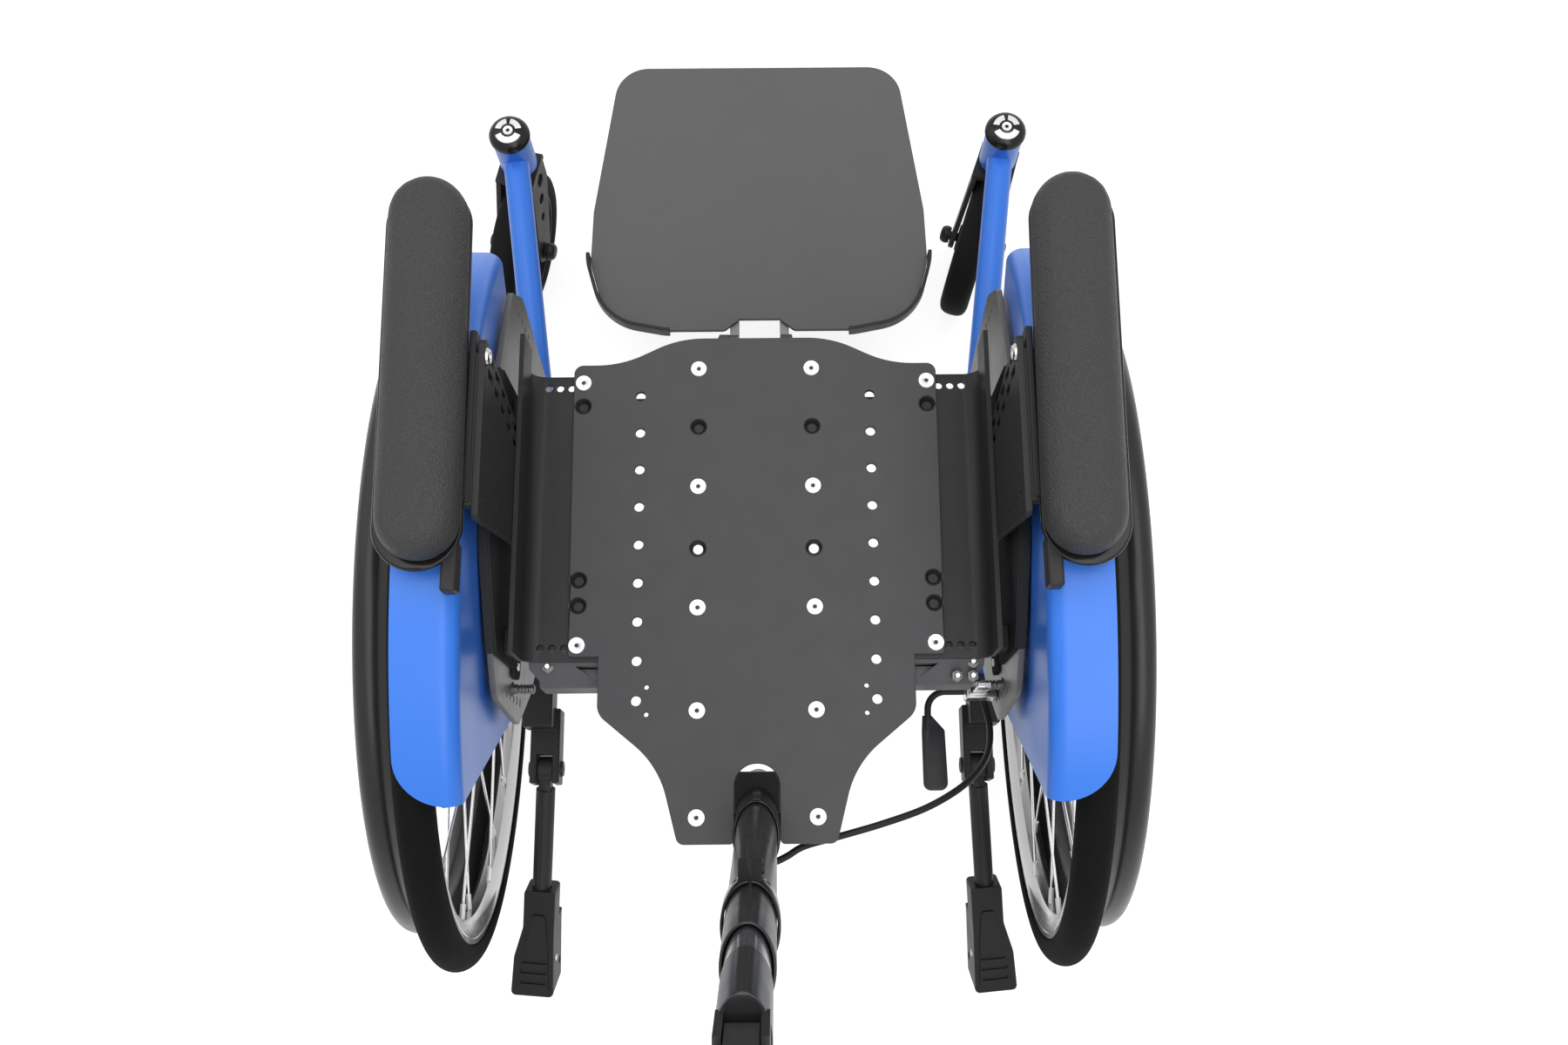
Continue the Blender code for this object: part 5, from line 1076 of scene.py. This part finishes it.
def push_post():
    spot = (0, POST_Y, SEAT_TOP)
    socket = oval_tube("post_socket_skin", 0.0015, GAP, -0.070, 0.037, POST, 0.0005)
    arms = [box("boss", (-22.5, 22.5, -4, 8, -46, -12), None, spot)]
    arms += [box("arm", (16.5, 21.5, 0, 106.7, -42, -16), None, spot, side) for side in (-1, 1)]
    half, nose_y = 0.0140, ROW_Y - 0.253
    nose = arc((0, nose_y), half, 0, radians(41), 10) + arc((0, nose_y), half, radians(139), pi, 10)
    nose += [(-half, POST_Y + 0.006), (half, POST_Y + 0.006)]
    arms.append(flat("nose", nose, 0.030, level(SEAT_TOP - 0.016)))
    join(socket, *arms)
    cut(socket, oval_tube("bore", GAP, None, -0.080, 0.047, edge=0.0))
    socket.data.materials.append(RUBBER)
    turn = socket.matrix_world.to_3x3()
    for face in socket.data.polygons:
        if (turn @ face.normal).z > 0.99:
            face.material_index = 1
    put(socket, "chassis", "black_plastic", "post_socket")
    rim = oval_tube("post_socket_rim", 0.0021, 0.0012, 0.0345, 0.0372, GLOSS, 0.0005)
    put(rim, "chassis", "black_plastic")
    outer = oval_tube("post_tube_skin", 0, -POST_WALL, -0.066, 0.284, POST, 0.0006)
    put(outer, "chassis", "black_metal", "post_tube")
    clamp = oval_tube("post_clamp_skin", 0.0019, GAP, 0.209, 0.2246, GLOSS, 0.0007)
    front = (0, POST_HALF[1] + 0.0019, 0)
    for side in (-1, 1):
        join(clamp, box("ear", (0.9, 5.5, -1.2, 7, 211, 222.6), None, front, side, post_frame(0)))
    slit = box("slit", (-0.8, 0.8, -3, 20, 200, 235), None, front, matrix=post_frame(0))
    put(cut(clamp, slit), "chassis", "black_plastic", "post_clamp")
    head = post_frame(0.2168) @ facing((0.0055, front[1] + 0.0035, 0), (1, 0, 0))
    screws("post_clamp_screw", [head], (2.6, 1.2, 1.2, 0.9), BLACK, "chassis", "black_metal")

    inner = -POST_WALL - 0.0005
    band = oval_tube("inner_post_skin", inner, None, 0.150, 0.314, BAND, 0.0003)
    put(band, "handle_post", "silver_alloy", "inner_post")
    head = oval_tube("inner_post_head", inner + 0.0008, None, 0.312, 0.368, POST, 0.0008)
    for side in (-1, 1):
        join(head, box("lug", (6.7, 9.8, -11, 11, 365, 392), side=side, matrix=post_frame(0)))
    put(soften(head, 0.0008), "handle_post", "black_metal")
    hinge = post_frame(BAR_HINGE)
    pin = rod("inner_post_pin_skin", (-0.0102, 0, 0), (0.0102, 0, 0), 0.003, CHROME, 32, hinge)
    put(pin, "handle_post", "chrome")


def push_bar():
    hinge = post_frame(BAR_HINGE)
    bar = box("push_bar_skin", (-6.2, 6.2, -9, 9, -9, 30), BLACK, matrix=hinge, edge=0)
    stem = rod("stem", (0, 0, 0.020), (0, 0, BAR_REACH), 0.010, None, 48, hinge)
    cross = rod("cross", (-0.155, 0, BAR_REACH), (0.155, 0, BAR_REACH), 0.010, None, 48, hinge)
    join(bar, stem, cross)
    hole = rod("hole", (-0.02, 0, 0), (0.02, 0, 0), 0.0033, None, 32, hinge)
    put(cut(bar, hole, edge=0.0008), "push_handle", "black_metal", "push_bar")
    along = hinge @ level(BAR_REACH) @ turn_by(pi / 2, "Y")
    profile = [(10.3, -55), (13.8, -55), (15, -53.8), (15, -50), (14, -48.8)]
    for k in range(10):
        low = -46 + 9.5 * k
        profile += [(14, low), (14.8, low + 1.2), (14.8, low + 5.2), (14, low + 6.4)]
    profile += [(14, 48.8), (15, 50), (15, 53.8), (13.8, 55), (10.3, 55)]
    for label, side in SIDES:
        grip = turned("push_grip_skin_" + label, mm(profile), along @ level(side * 0.100), RUBBER, 64,
                      closed=True, angle=30)
        put(grip, "push_handle", "rubber", "push_grip_" + label)


def release_lever():
    spot = (0, LEVER_Y, LEVER_Z)
    block = box("lever_block_skin", (140, 161.2, -9, 2, -9, 9), CHROME, spot, edge=0)
    ear = box("ear", (144, 154, -6, -2, 6, 35.4), None, spot)
    put(join(block, ear, edge=0.0008), "chassis", "chrome", "lever_block")
    rod_y = LEVER_Y - 0.0035
    path = bend([(0.140 - GAP, rod_y, LEVER_Z, 0), (0.115, rod_y, LEVER_Z, 0.012),
                 (0.114, rod_y - 0.034, LEVER_Z - 0.002, 0)], 16)
    lever = tube("release_lever_skin", path, 0.0023, BLACK)
    shape = rounded(mm((
        (111, -16, 0), (117, -16, 0), (125.7, -26, 3), (126.7, -66, 5), (110.3, -66, 5), (110.3, -26, 3),
    ), 0, rod_y), 8)
    paddle = flat("paddle", shape, 0.005, level(LEVER_Z - 0.002), edge=0.0009)
    put(join(lever, paddle), "lever", "black_metal", "release_lever")


def smooth_route(points, steps):
    """Points on a smooth curve through the route's own points."""
    ends = [2 * points[0] - points[1], *points, 2 * points[-1] - points[-2]]
    path = []
    for a, b, c, d in zip(ends, ends[1:], ends[2:], ends[3:]):
        for k in range(steps):
            t = k / steps
            cubic = 2 * b + (c - a) * t + (2 * a - 5 * b + 4 * c - d) * t ** 2
            path.append((cubic + (3 * b - a - 3 * c + d) * t ** 3) / 2)
    path.append(points[-1])
    return path


def release_cable():
    spots = [Vector((x / 1000, ROW_Y + y / 1000, SEAT_TOP + z / 1000)) for x, y, z in CABLE_ROUTE]
    route = smooth_route(spots, 8)
    cable = tube("release_cable_skin", route, CABLE_R, PLASTIC, 6)
    put(cable, "chassis", "black_plastic", "release_cable")


def seen_by_eye(tree):
    """One where a ray comes from the camera, off a glossy surface or through a clear one."""
    path = node(tree, "LightPath")
    seen = maths(tree, "MAXIMUM", path.outputs["Is Camera Ray"], path.outputs["Is Glossy Ray"])
    return maths(tree, "MAXIMUM", seen, path.outputs["Is Transmission Ray"])


def stage():
    """A pale floor that shows white and keeps the shadow, a soft world and three lamps."""
    white = bpy.data.materials.new("floor_white")
    white.use_nodes = True
    tree = white.node_tree
    tree.nodes.clear()
    link = tree.links.new
    matt = node(tree, "BsdfDiffuse", color=(0.50, 0.50, 0.50, 1))
    glow = node(tree, "Emission")
    link(maths(tree, "MULTIPLY", seen_by_eye(tree), 0.82), glow.inputs["Strength"])
    both = node(tree, "AddShader", matt.outputs[0])
    link(glow.outputs[0], both.inputs[1])
    node(tree, "OutputMaterial", both.outputs[0])
    bm = bmesh.new()
    bmesh.ops.create_circle(bm, cap_ends=True, segments=64, radius=14.0)
    floor = from_bmesh("floor", bm, Matrix(), white)

    world = bpy.data.worlds.new("studio")
    bpy.context.scene.world = world
    world.use_nodes = True
    tree = world.node_tree
    tree.nodes.clear()
    pick = node(tree, "MixShader", seen_by_eye(tree))
    for k, strength in ((1, 0.42), (2, 1.0)):
        light = node(tree, "Background", color=(1.0, 1.0, 1.0, 1.0), strength=strength)
        tree.links.new(light.outputs[0], pick.inputs[k])
    node(tree, "OutputWorld", pick.outputs[0])

    for name, place, target, size, power in (
        ("key", (0.5, -1.6, 2.6), (0, -0.05, 0.4), 1.8, 28.0),
        ("fill", (-1.6, 0.9, 2.0), (0, 0.05, 0.3), 1.6, 7.0),
        ("top", (0.1, 0.3, 3.3), (0, 0.0, 0.3), 2.4, 44.0),
    ):
        lamp = bpy.data.lights.new(name, "AREA")
        lamp.shape = "SQUARE"
        lamp.size = size
        lamp.energy = power
        obj = bpy.data.objects.new(name, lamp)
        obj.location = place
        obj.rotation_mode = "QUATERNION"
        obj.rotation_quaternion = (Vector(target) - Vector(place)).to_track_quat("-Z", "Y")
        bpy.context.scene.collection.objects.link(obj)


def camera():
    """The photo's camera, solved from the seat plate's holes, the caps, the footplate and the wheels."""
    pitch, yaw, roll = radians(75.12), radians(0.27), radians(-0.50)
    ahead = Vector((0, cos(pitch), -sin(pitch)))
    up = Vector((0, sin(pitch), cos(pitch)))
    right = Vector((1, 0, 0))
    ahead, right = ahead * cos(yaw) + right * sin(yaw), right * cos(yaw) - ahead * sin(yaw)
    right, up = right * cos(roll) + up * sin(roll), up * cos(roll) - right * sin(roll)
    lens = bpy.data.cameras.new("camera")
    lens.sensor_fit = "HORIZONTAL"
    lens.sensor_width = 36.0
    lens.lens = 33.12
    lens.clip_start = 0.05
    lens.clip_end = 60.0
    obj = bpy.data.objects.new("camera", lens)
    obj.matrix_world = at(0.0137, -0.3106, 1.2976) @ Matrix((right, up, -ahead)).transposed().to_4x4()
    bpy.context.scene.collection.objects.link(obj)
    bpy.context.scene.camera = obj
    bpy.context.scene.view_settings.view_transform = "Standard"


release_cable()
seat()
cross_members()
footrest()
push_post()
push_bar()
release_lever()
for side_label, side_sign in SIDES:
    for build in (seat_rail, side_plate, drive_wheel, front_frame, caster, armrest, pad, fender, anti_tipper):
        build(side_label, side_sign)
stage()
camera()
